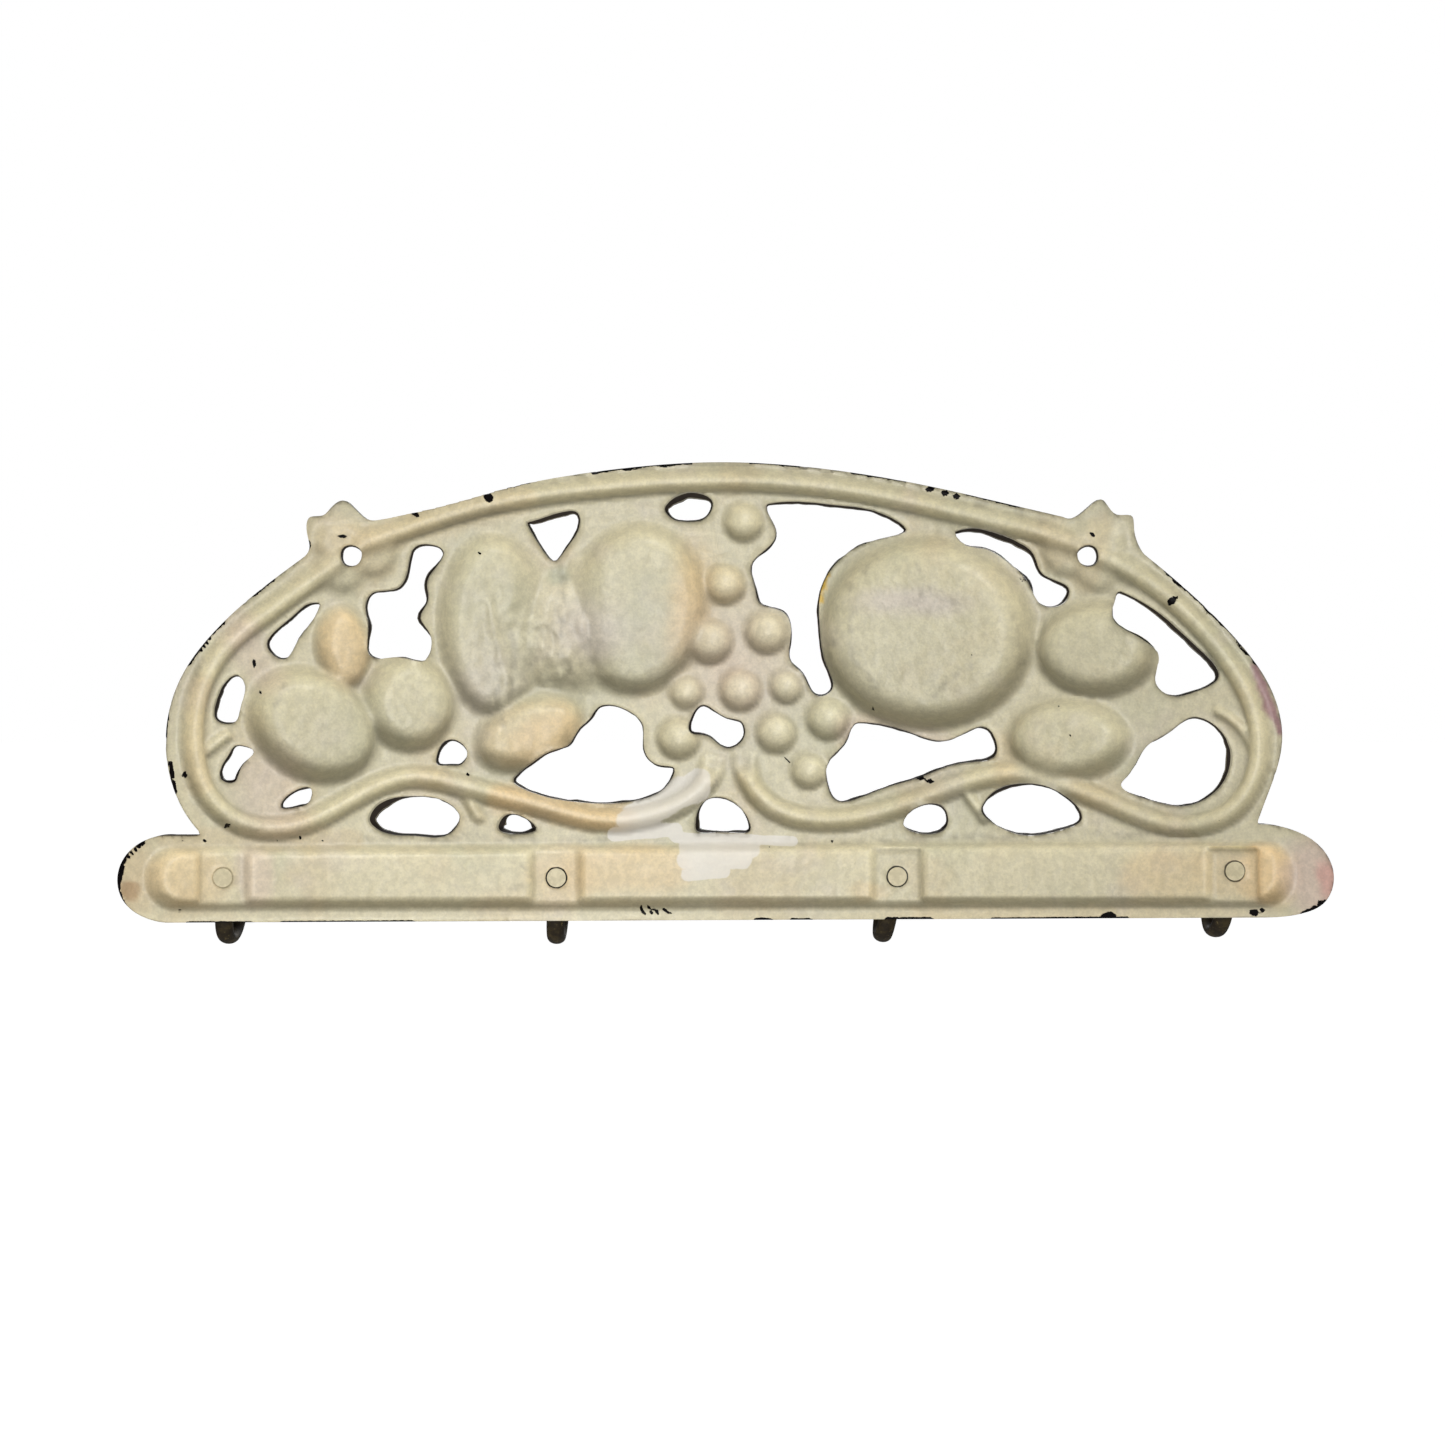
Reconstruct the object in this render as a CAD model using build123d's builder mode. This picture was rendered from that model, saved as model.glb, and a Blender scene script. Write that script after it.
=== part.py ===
from build123d import *
import os
from math import cos, radians, sin

# Wall hook rack: one hollow-backed iron casting with fruit and vine relief, and four small
# hooks that swivel on rivets in the bar below it.
#
# Frame, in millimetres: the wall plane is Y = 0 and the relief stands out towards -Y, so the
# open hollows of the back face +Y. +Z is up. The origin is midway between the two screw holes,
# on the wall plane. Every sketch on WALL has local x along +X and local y along +Z.

os.makedirs("parts", exist_ok=True)

WALL = Plane.XZ

# ---------------------------------------------------------------- driving sizes
SCREW_SPACING = 203.2        # hole to hole, eight inches
SCREW_HOLE_R = 3.05          # clears a No. 10 wood screw
WEB = 3.2                    # plate between the fruit, wall plane to front
SKIN = 2.6                   # metal left in front of a hollow
RELIEF = 20.0                # more than the deepest relief, for trimming prisms

RAIL_HALF = 5.4              # half width of the round rail on the front
RAIL_DEPTH = 7.6             # wall plane to the rail's crest
GROOVE_HALF = 2.9            # half width of the groove behind the rail
GROOVE_DEPTH = 4.4

BAR_DEPTH = 7.6
BAR_EDGE = 2.2               # rounding along the bar's front edge
RECESS_DEPTH = 4.3
RECESS_SIDE_SLOPE = 1.9      # how far the recess closes in, top and bottom
RECESS_END_SLOPE = 3.7       # how far it closes in at its ends
PAD_DEPTH = 2.1              # the recess is only this deep around each rivet
PAD_HALF = 6.7

EAR_POCKET_DEPTH = 1.9
EAR_BOSS_R = 10.2
EAR_BOSS_DEPTH = 5.6

SEAT_HALF = 6.0              # flat seat in the bar's front that a hook's root lies in
SEAT_DEPTH = 1.6
HOOK_GAP = 0.1               # between the seat's floor and the hook's back
HOOK_ROOT_R = 5.0
HOOK_ROOT_THICK = 3.0
HOOK_ROOT_EDGE = 0.7
HOOK_NECK_HALF = 2.2         # half width of the root where the wire takes over
HOOK_SHANK_HALF = 2.5
HOOK_WIRE = 3.6              # front-to-back thickness of the shank and bend
HOOK_DROP = 9.4              # rivet centre down to where the bend starts
HOOK_BEND_R = 8.6
HOOK_BEND_ANGLE = 160
HOOK_TIP_RISE = 4.2
HOOK_BALL_R = 2.7

RIVET_SHANK_R = 2.25
RIVET_CLEAR = 0.05
RIVET_HEAD_R = 4.0
RIVET_HEAD_RISE = 1.9
RIVET_HEAD_ROUND = 1.6       # rounding of the head's rim
TAIL_R = 2.6
TAIL_THICK = 0.5
TAIL_RING = 0.15             # narrow ring left open around the peened tail

# Rivet centre and how far each hook leans towards +X where it rests, in degrees.
HOOKS = {
    "1": ((136.7, -88.6), 5.5),
    "2": ((44.9, -88.6), 3.5),
    "3": ((-48.9, -88.3), 10.0),
    "4": ((-141.8, -86.8), 7.0),
}
RIVETS = [centre for centre, lean in HOOKS.values()]

# ---------------------------------------------------------------- outlines, as (x, z)
# The panel's edge runs from the valley beside the +X ear, over the ears and shoulders.
TOP_RAIL_EDGE = [
    (-94.2, 10.5), (-80, 13.8), (-60, 18.4), (-30, 23.5), (0, 25.5),
    (30, 23.4), (59, 18.3), (80, 12.6), (94.6, 9.5),
]
LEFT_EAR_EDGE = [
    (94.6, 9.5), (99, 11.6), (103.4, 15), (106.6, 13), (109, 10.8),
    (112.4, 10.4), (113.3, 7.1), (112.5, 2.9), (114.8, -1.1),
]
LEFT_SHOULDER = [
    (114.8, -1.1), (127.1, -10.4), (139.7, -22.2), (148, -34.1),
    (151.9, -50), (148.5, -67.2), (142.6, -76),
]
RIGHT_EAR_EDGE = [
    (-94.2, 10.5), (-99.8, 12), (-105, 15.2), (-107.2, 12.5), (-109, 11.1),
    (-113, 10.8), (-113.7, 7), (-114.4, 4), (-116.3, 0.4),
]
RIGHT_SHOULDER = [
    (-116.3, 0.4), (-127.3, -8.8), (-141.2, -22.5), (-151, -36.2),
    (-154.3, -51), (-150.6, -65), (-147.4, -73.6),
]
PANEL_FOOT = -86.0           # the panel ends inside the bar

BAR_TOP = [(150, -77), (-148, -73.8)]
BAR_BOTTOM = [(150, -100.8), (-150, -99.4)]
BAR_LEFT_END = [(158.4, -78.6), (163.6, -83.4), (165.2, -89.1), (163.6, -94.8), (158.8, -98.9)]
BAR_RIGHT_END = [(-158.4, -75.8), (-165.4, -80.6), (-168.5, -88), (-166.2, -95), (-159.8, -98.3)]

# The recess in the bar's back, corner by corner on the wall plane.
RECESS = [(157.5, -80.4), (-157.3, -78.2), (-157.3, -96.2), (157.5, -97)]
RECESS_CORNER = 7.6

# ---------------------------------------------------------------- pierced windows
WINDOWS = {
    "left_shoulder_slot": [
        (109.6, -13.6), (111.2, -17.2), (115.7, -23.4), (119.6, -28.6), (124.2, -24.9),
        (120.8, -19.7), (115.5, -15.2), (111.6, -13),
    ],
    "left_bean": [
        (131.6, -33.2), (130.1, -36), (131.4, -41.8), (132.9, -45.8), (138, -45.3),
        (138, -39.6), (135.4, -34.6),
    ],
    "left_hook_shape": [
        (130.8, -52.2), (127.8, -54.2), (130.9, -57.7), (133.3, -62.5), (136.9, -61.4),
        (136.6, -57.8), (134.2, -53.8),
    ],
    "left_sliver": [(120.4, -69), (117.6, -65.2), (112, -64.1), (112.4, -67.4), (117.2, -69.4)],
    "beside_left_ear": [
        (77.7, 2.6), (84.6, 0.8), (85.6, -4.2), (88.4, -9), (95.6, -10.6), (97.2, -14.4),
        (96.5, -19), (97, -26.6), (94.6, -28.3), (88.6, -27.9), (81, -28.7), (79.5, -21.4),
        (81.9, -17), (79.8, -12.2), (80.1, -8), (77.6, -3.2),
    ],
    "leaf_notch": [
        (52.6, 9.2), (46, 11.3), (38.5, 11.2), (38.2, 8.6), (42, 1.8), (45.4, -1.7),
        (48.4, 1.2),
    ],
    "above_leaf": [
        (15.1, 13.4), (12.4, 16.1), (5.8, 17.3), (1.8, 14.6), (4.2, 9.9), (9.1, 9.1),
        (13.7, 10.4),
    ],
    "small_wedge": [(77.8, -55.6), (71, -51.4), (69.2, -54.4), (70.8, -57.4), (74.8, -57.7)],
    "under_leaves": [
        (56.4, -61), (51.6, -56.7), (45.4, -53.3), (42, -52.3), (38.7, -47.5), (36, -45.2),
        (33.4, -41.7), (26.4, -42), (21, -46.8), (20.8, -52.4), (16.8, -57.5), (12.4, -58.4),
        (13.8, -62.4), (20.4, -66.7), (31, -68.2), (41.6, -67.5), (52, -65),
    ],
    "between_grapes": [
        (8.4, -45.8), (3.3, -41.2), (-1.8, -44.5), (-6, -45.6), (-6.8, -49.8), (-1.6, -52.9),
        (3.4, -49.6), (7, -49.2),
    ],
    "over_bar_left": [
        (96.2, -71.4), (93, -67.6), (84, -66.1), (75.4, -67.4), (71.3, -71.8), (74, -76.4),
        (84, -77), (92.6, -76),
    ],
    "over_rivet_left": [(60.8, -73.6), (58.4, -71.1), (52.5, -72.5), (49.9, -75), (54.8, -76.6)],
    "under_vine_tips": [(6.9, -74), (0.2, -66.3), (-7.4, -71.4), (-8.6, -75.3), (0, -76), (5, -76.3)],
    "between_grapes_and_round": [
        (-13.6, 14.2), (-18.3, 14.8), (-32, 13.8), (-46, 10.9), (-51.2, 6.9), (-45.8, 4.8),
        (-37.6, 2.2), (-31.2, -3.2), (-27.8, -9.9), (-27.6, -20), (-29.6, -30.4), (-30.8, -37),
        (-27.2, -38.7), (-24.2, -35.6), (-22.6, -32.4), (-19.6, -29.4), (-19.6, -21),
        (-17.4, -15.6), (-10.8, -13), (-9.6, -8.5), (-8.6, -3), (-12.7, 1.7), (-15.4, 6.6),
    ],
    "beside_right_ear": [
        (-64.8, 6.6), (-69, 7.6), (-81, 4.3), (-86.2, 0.4), (-88.6, -5), (-96, -9.4),
        (-94.8, -12.8), (-88.6, -13.8), (-84.6, -7.6), (-80.1, -2.7), (-72.1, 2), (-66.4, 3.8),
    ],
    "right_shoulder_slot": [
        (-110.2, -9.9), (-121.3, -16.2), (-130.2, -24.2), (-137, -33.6), (-130.1, -37.7),
        (-123.9, -38.6), (-119.6, -35), (-120.6, -27.8), (-115.2, -21.4), (-108.6, -14.6),
    ],
    "under_round_fruit": [
        (-38.2, -45.8), (-52.2, -48.5), (-63.4, -50.5), (-73.6, -47.4), (-76, -54.6),
        (-67.3, -57), (-55.2, -60.9), (-43.4, -64.6), (-31.2, -66.7), (-29.6, -63.2),
        (-30.2, -56), (-34.6, -51),
    ],
    "over_rivet_right": [(-50.4, -73.2), (-54.6, -69.2), (-61.4, -69), (-62.6, -74), (-55.6, -76.5)],
    "over_bar_right": [
        (-72.2, -68.4), (-76.4, -64), (-84.4, -62.6), (-93.6, -65), (-99.4, -72.6),
        (-93.8, -75.5), (-84.4, -77), (-76.4, -74.4),
    ],
    "right_bean": [
        (-110.6, -62), (-114.6, -56.4), (-117.4, -52.2), (-123.2, -48.6), (-129.6, -44.4),
        (-136.4, -47), (-140.4, -54.6), (-137.4, -63.6), (-129.6, -68.5), (-118.6, -67.4),
    ],
}

# ---------------------------------------------------------------- rails and vines
TOP_RAIL = [
    (-100, 2.4), (-88.7, 6.2), (-70.2, 10.8), (-40.1, 17.3), (0, 20.7), (34.8, 18.5),
    (64.7, 13.8), (85.5, 7.6), (100, 2.6),
]
LEFT_VINE = [
    (103, 0), (109.3, -4.7), (125, -16.1), (137.3, -27), (143.5, -40), (144.5, -52),
    (139.6, -67), (129, -74.2), (115.1, -73.8), (100.6, -66.7), (84.9, -60.9), (69.5, -63.6),
    (50, -68.6), (31.8, -72.7), (14, -69.6), (4.4, -63), (1.7, -55.4),
]
RIGHT_VINE = [
    (-103, 0.6), (-112.4, -3.7), (-127.3, -14.8), (-140, -29.2), (-147.2, -43.5),
    (-147.9, -58), (-140.6, -70), (-126, -74.1), (-109.2, -68.8), (-94.3, -62.9),
    (-81.2, -59.9), (-66.1, -62.7), (-46, -69.9), (-28, -72.6), (-12.6, -67.6),
    (-7.2, -59), (-6.9, -54.2),
]
# Short side shoots: each runs straight from the vine to its tip.
SHOOTS = {
    "left_branch": [(143.4, -55.6), (134.4, -48.8)],
    "left_thorn": [(71.2, -63.2), (65.6, -72.8)],
    "right_thorn": [(-66.4, -63), (-73.2, -73)],
    "right_branch": [(-147, -57), (-144.6, -49.4), (-135.9, -42.3)],
}
SHOOT_HALF = 1.5
SHOOT_DEPTH = 2.0

# ---------------------------------------------------------------- fruit
# Each hollow: centre, half width, half height, turn in degrees, and depth from the wall plane.
FRUIT = {
    "large_round": ((-57, -21.2), 28.2, 25.2, 0, 10.5),
    "lemon": ((-103.6, -25.6), 15.6, 12.2, 0, 8.0),
    "long_plum": ((-95.9, -50.4), 15.6, 10.2, 0, 7.5),
    "left_ovoid": ((112, -46.5), 17.6, 13.6, 32, 8.6),
    "left_small_ovoid": ((85.4, -40.6), 11.6, 12.2, -20, 7.6),
    "bud": ((103.4, -25.2), 6.6, 10.6, -8, 5.0),
    "left_leaf": ((62.4, -19), 13.4, 23.8, 0, 5.6),
    "right_leaf": ((22.6, -14.6), 17.6, 22.4, 8, 6.6),
    "low_plum": ((52.4, -48.4), 14.8, 8.6, -24, 6.6),
}
# Each grape: centre and radius of its cup in the back.
GRAPES = [
    ((-6.6, 9.1), 5.3), ((-1.5, -8), 5.5), ((2.7, -23.6), 6.2), ((-13, -21.1), 5.9),
    ((9.1, -37.6), 4.6), ((-5.7, -37.1), 5.7), ((-18.3, -36.2), 4.5), ((-29.8, -44.9), 5.8),
    ((-15.5, -48.8), 5.5), ((11.3, -50.2), 5.8), ((-24.5, -59.2), 4.9),
]
GRAPE_CENTRE = 0.9           # a cup's centre stands this far behind the wall plane

PILLOW_ROUND = 0.62          # floor rounding of a fruit, as a share of its depth
MOUTH = 1.5                  # how far a hollow's tool reaches past the wall plane
RUN_BACK = 1.0               # how far a rib or groove tool reaches past it
PAD_HEIGHT = 16.0
# Lobes of the pocket behind each screw hole, from the hole, as (outward, up, radius).
EAR_LOBES = [(-6.2, 0.8, 6.0), (2, -4.2, 5.2), (4.4, 3.4, 4.6), (0, 4.6, 3.8)]


def closed_spline(points):
    """Add the area inside a smooth closed curve to the sketch being built."""
    with BuildLine() as edge:
        Spline(*points, periodic=True)
    make_face(edge.edges())


def panel_outline():
    """Add the panel's area, from the rail down into the bar, to the sketch being built."""
    left_foot, right_foot = LEFT_SHOULDER[-1], RIGHT_SHOULDER[-1]
    with BuildLine() as edge:
        Spline(*TOP_RAIL_EDGE)
        Spline(*LEFT_EAR_EDGE)
        Spline(*LEFT_SHOULDER)
        Polyline(left_foot, (left_foot[0], PANEL_FOOT), (right_foot[0], PANEL_FOOT), right_foot)
        Spline(*RIGHT_SHOULDER)
        Spline(*RIGHT_EAR_EDGE)
    make_face(edge.edges())


def bar_outline():
    """Add the bar's area, straight along its sides and rounded at its ends, to the sketch."""
    with BuildLine() as edge:
        Line(*BAR_TOP)
        Spline(BAR_TOP[1], *BAR_RIGHT_END, BAR_BOTTOM[1])
        Line(*BAR_BOTTOM)
        Spline(BAR_TOP[0], *BAR_LEFT_END, BAR_BOTTOM[0])
    make_face(edge.edges())


def recess_area(side_inset, end_inset):
    """Add the bar recess's area, closed in by the two insets, to the sketch being built."""
    inward = [(-1, -1), (1, -1), (1, 1), (-1, 1)]
    corners = [
        (x + sx * end_inset, z + sz * side_inset) for (x, z), (sx, sz) in zip(RECESS, inward)
    ]
    with BuildLine() as edge:
        FilletPolyline(*corners, radius=RECESS_CORNER - side_inset, close=True)
    make_face(edge.edges())


def pillow(centre, half_x, half_z, turn, depth):
    """An oval tool with straight sides and a broadly rounded floor, open at the wall plane."""
    with BuildPart() as tool:
        with BuildSketch(WALL.offset(-MOUTH)):
            with Locations(centre):
                Ellipse(half_x, half_z, rotation=turn)
        extrude(amount=depth + MOUTH)
        fillet(tool.faces().sort_by(Axis.Y)[0].edges(), radius=PILLOW_ROUND * depth)
    return tool.part


def rounded_run(points, half_width, depth):
    """A rib or groove tool: a half-ellipse section carried along a smooth planar route."""
    with BuildPart() as tool:
        with BuildLine(WALL):
            path = Spline(*points)
        tangent = path % 0
        across = Vector(0, -1, 0).cross(tangent)
        with BuildSketch(Plane(origin=path @ 0, x_dir=across, z_dir=tangent)):
            with BuildLine():
                crown = EllipticalCenterArc((0, 0), half_width, depth, arc_size=180)
                Polyline(crown @ 1, (-half_width, -RUN_BACK), (half_width, -RUN_BACK), crown @ 0)
            make_face()
        sweep()
    return tool.part


# ---------------------------------------------------------------- casting
bulges = [
    pillow(centre, half_x + SKIN, half_z + SKIN, turn, depth + SKIN)
    for centre, half_x, half_z, turn, depth in FRUIT.values()
]
hollows = [pillow(*fruit) for fruit in FRUIT.values()]
rails = [rounded_run(route, RAIL_HALF, RAIL_DEPTH) for route in (TOP_RAIL, LEFT_VINE, RIGHT_VINE)]
grooves = [
    rounded_run(route, GROOVE_HALF, GROOVE_DEPTH) for route in (TOP_RAIL, LEFT_VINE, RIGHT_VINE)
]
shoots = [rounded_run(route, SHOOT_HALF, SHOOT_DEPTH) for route in SHOOTS.values()]

with BuildPart() as bar:
    with BuildSketch(WALL):
        bar_outline()
    extrude(amount=BAR_DEPTH)
    front_rim = bar.faces().sort_by(Axis.Y)[0].edges()
    fillet(front_rim, radius=BAR_EDGE)

with BuildPart() as casting:
    # Plate, rails, vines and the bulges in front of every hollow, all oversize.
    with BuildSketch(WALL):
        with Locations((0, -30)):
            Rectangle(360, 130)
    extrude(amount=WEB)
    add(rails + bulges)
    for (x, z), radius in GRAPES:
        with Locations((x, GRAPE_CENTRE, z)):
            Sphere(radius + SKIN)
    with BuildSketch(WALL):
        with Locations((SCREW_SPACING / 2, 0), (-SCREW_SPACING / 2, 0)):
            Circle(EAR_BOSS_R)
    extrude(amount=EAR_BOSS_DEPTH)

    # Everything is trimmed to the panel's edge and to the flat wall plane.
    with BuildSketch(WALL):
        panel_outline()
    extrude(amount=RELIEF, mode=Mode.INTERSECT)
    add(bar.part)

    # Hollows behind the fruit, and grooves behind the rails and shoots.
    add(hollows + grooves + shoots, mode=Mode.SUBTRACT)
    for (x, z), radius in GRAPES:
        with Locations((x, GRAPE_CENTRE, z)):
            Sphere(radius, mode=Mode.SUBTRACT)

    # Long recess in the bar's back, with a raised pad left around each rivet.
    over = 0.6 / RECESS_DEPTH
    with BuildSketch(WALL.offset(-0.6)):
        recess_area(-over * RECESS_SIDE_SLOPE, -over * RECESS_END_SLOPE)
    with BuildSketch(WALL.offset(RECESS_DEPTH)):
        recess_area(RECESS_SIDE_SLOPE, RECESS_END_SLOPE)
    loft(mode=Mode.SUBTRACT)
    for x, z in RIVETS:
        with BuildSketch(WALL.offset(PAD_DEPTH)):
            with Locations((x, (RECESS[0][1] + RECESS[3][1]) / 2)):
                Rectangle(2 * PAD_HALF, PAD_HEIGHT)
        extrude(amount=RECESS_DEPTH - PAD_DEPTH + 0.8)

    # Pockets, seats and holes.
    for side in (1, -1):
        with BuildSketch(WALL):
            with Locations((side * SCREW_SPACING / 2, 0)):
                for ox, oz, radius in EAR_LOBES:
                    with Locations((side * ox, oz)):
                        Circle(radius)
        extrude(amount=EAR_POCKET_DEPTH, mode=Mode.SUBTRACT)
    for x, z in RIVETS:
        with BuildSketch(WALL.offset(BAR_DEPTH - SEAT_DEPTH)):
            with Locations((x, z)):
                Circle(SEAT_HALF)
                Rectangle(2 * SEAT_HALF, 20, align=(Align.CENTER, Align.MAX))
        extrude(amount=SEAT_DEPTH + 1, mode=Mode.SUBTRACT)
    with BuildSketch(WALL.offset(-1)):
        for points in WINDOWS.values():
            closed_spline(points)
        with Locations((SCREW_SPACING / 2, 0), (-SCREW_SPACING / 2, 0)):
            Circle(SCREW_HOLE_R)
        with Locations(*RIVETS):
            Circle(RIVET_SHANK_R + RIVET_CLEAR)
    extrude(amount=RELIEF + 1, mode=Mode.SUBTRACT)
    for x, z in RIVETS:
        with Locations(Plane(origin=(x, -PAD_DEPTH, z), z_dir=(0, 1, 0))):
            CounterSinkHole(RIVET_SHANK_R + RIVET_CLEAR, TAIL_R + TAIL_RING)

casting.part.label = "casting"
export_step(casting.part, "parts/casting.step")


# ---------------------------------------------------------------- hooks and rivets
SEAT_FLOOR = BAR_DEPTH - SEAT_DEPTH
HOOK_BACK = SEAT_FLOOR + HOOK_GAP
for number, ((rivet_x, rivet_z), lean) in HOOKS.items():
    down = (sin(radians(lean)), 0, -cos(radians(lean)))
    across = Vector(cos(radians(lean)), 0, sin(radians(lean)))
    foot = (rivet_x, -HOOK_BACK, rivet_z)
    face_on = Plane(origin=foot, x_dir=across, z_dir=(0, -1, 0))
    side_on = Plane(origin=foot, x_dir=(0, -1, 0), z_dir=-across)

    with BuildPart() as hook:
        # Flat root around the rivet, narrowing down to the shank.
        with BuildSketch(face_on):
            Circle(HOOK_ROOT_R)
            with BuildLine():
                Polyline(
                    (-HOOK_ROOT_R, 0), (-HOOK_NECK_HALF, -HOOK_DROP),
                    (HOOK_NECK_HALF, -HOOK_DROP), (HOOK_ROOT_R, 0), close=True,
                )
            make_face()
        extrude(amount=HOOK_ROOT_THICK)
        fillet(hook.faces().sort_by(Axis.Y)[0].edges(), radius=HOOK_ROOT_EDGE)
        # Shank and bend: an oval wire that runs down, under and up to the tip.
        wire_line = HOOK_WIRE / 2
        with BuildLine(side_on):
            shank = Line((wire_line, -HOOK_DROP / 2), (wire_line, -HOOK_DROP))
            bend = CenterArc(
                (wire_line + HOOK_BEND_R, -HOOK_DROP), HOOK_BEND_R, 180, HOOK_BEND_ANGLE
            )
            tip = Line(bend @ 1, bend @ 1 + (bend % 1) * HOOK_TIP_RISE)
        with BuildSketch(Plane(origin=shank @ 0, x_dir=across, z_dir=shank % 0)):
            Ellipse(HOOK_SHANK_HALF, wire_line)
        sweep()
        with Locations(tip @ 1):
            Sphere(HOOK_BALL_R)
        with BuildSketch(face_on):
            Circle(RIVET_SHANK_R + RIVET_CLEAR)
        extrude(amount=HOOK_ROOT_THICK, mode=Mode.SUBTRACT)
    hook.part.label = f"hook_{number}"
    export_step(hook.part, f"parts/hook_{number}.step")

    with BuildPart() as rivet:
        head_seat = HOOK_BACK + HOOK_ROOT_THICK
        with BuildSketch(Plane(origin=(rivet_x, 0, rivet_z), x_dir=(1, 0, 0), z_dir=(0, 0, -1))):
            with BuildLine():
                side = Polyline(
                    (0, PAD_DEPTH), (TAIL_R, PAD_DEPTH), (RIVET_SHANK_R, PAD_DEPTH + TAIL_THICK),
                    (RIVET_SHANK_R, head_seat), (RIVET_HEAD_R, head_seat),
                    (RIVET_HEAD_R, head_seat + RIVET_HEAD_RISE - RIVET_HEAD_ROUND),
                )
                crown = CenterArc(
                    side @ 1 - Vector(RIVET_HEAD_ROUND, 0), RIVET_HEAD_ROUND, 0, 90
                )
                Polyline(crown @ 1, (0, head_seat + RIVET_HEAD_RISE), side @ 0)
            make_face()
        revolve(axis=Axis((rivet_x, 0, rivet_z), (0, 1, 0)))
    rivet.part.label = f"rivet_{number}"
    export_step(rivet.part, f"parts/rivet_{number}.step")
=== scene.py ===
"""Looks for a cast-iron wall hook rack with pierced fruit relief, hollow at the back.

The casting is rebuilt as one fine two-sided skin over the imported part: its depths are read off
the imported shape, softened as sand casting softens them, and given leaf veins, wrinkles and the
unevenness of many coats of paint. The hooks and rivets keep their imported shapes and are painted.
"""

import logging
import math
from dataclasses import dataclass, field
from enum import Enum

import bmesh
import bpy
import numpy as np
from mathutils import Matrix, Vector
from mathutils.bvhtree import BVHTree


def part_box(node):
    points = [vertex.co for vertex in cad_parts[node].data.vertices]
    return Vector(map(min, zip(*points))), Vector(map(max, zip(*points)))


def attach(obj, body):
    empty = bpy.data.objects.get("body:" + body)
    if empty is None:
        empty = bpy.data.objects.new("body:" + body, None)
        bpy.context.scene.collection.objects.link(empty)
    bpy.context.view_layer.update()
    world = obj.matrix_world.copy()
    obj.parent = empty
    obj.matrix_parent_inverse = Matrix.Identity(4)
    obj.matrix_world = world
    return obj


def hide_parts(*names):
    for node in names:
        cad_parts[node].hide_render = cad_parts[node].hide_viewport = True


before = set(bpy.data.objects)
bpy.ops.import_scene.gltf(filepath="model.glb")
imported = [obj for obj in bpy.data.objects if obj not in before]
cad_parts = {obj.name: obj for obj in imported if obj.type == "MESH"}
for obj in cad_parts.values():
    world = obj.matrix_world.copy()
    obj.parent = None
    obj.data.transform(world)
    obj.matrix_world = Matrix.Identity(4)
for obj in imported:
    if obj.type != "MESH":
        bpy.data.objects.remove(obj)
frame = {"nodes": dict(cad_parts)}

LOG = logging.getLogger("hook_rack")
MM = 0.001

Colour = tuple[float, float, float]
Grid = np.ndarray


def paint(red: int, green: int, blue: int) -> Colour:
    """Turn a colour as seen on screen, 0 to 255, into linear light.

    Args:
        red: Red, 0 to 255.
        green: Green, 0 to 255.
        blue: Blue, 0 to 255.

    Returns:
        The three linear values.
    """
    seen = np.array((red, green, blue)) / 255.0
    light = np.where(seen <= 0.04045, seen / 12.92, ((seen + 0.055) / 1.055) ** 2.4)
    return tuple(float(v) for v in light)


class Slot(Enum):
    """Material slots of the part's record."""

    CASTING = "painted_casting"
    IRON = "dark_iron"
    RIVET = "rivet_steel"


class Side(Enum):
    """Which way a skin of the casting faces."""

    BACK = 0.0
    FRONT = 1.0


# ---------------------------------------------------------------- colours of the old coats
CREAM = paint(222, 213, 180)
OLIVE = paint(204, 201, 172)
TAN = paint(214, 192, 152)
WARM = paint(232, 206, 160)
ROSE = paint(222, 200, 184)
LILAC = paint(212, 200, 194)
DUSTY_ROSE = paint(176, 132, 138)
YELLOW = paint(232, 190, 70)
BROWN = paint(176, 143, 104)
PRIMER = paint(24, 17, 18)
SOOT = paint(13, 10, 11)
BLACK_BROWN = paint(34, 27, 25)
RAIL_ROSE = paint(148, 92, 98)


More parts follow.
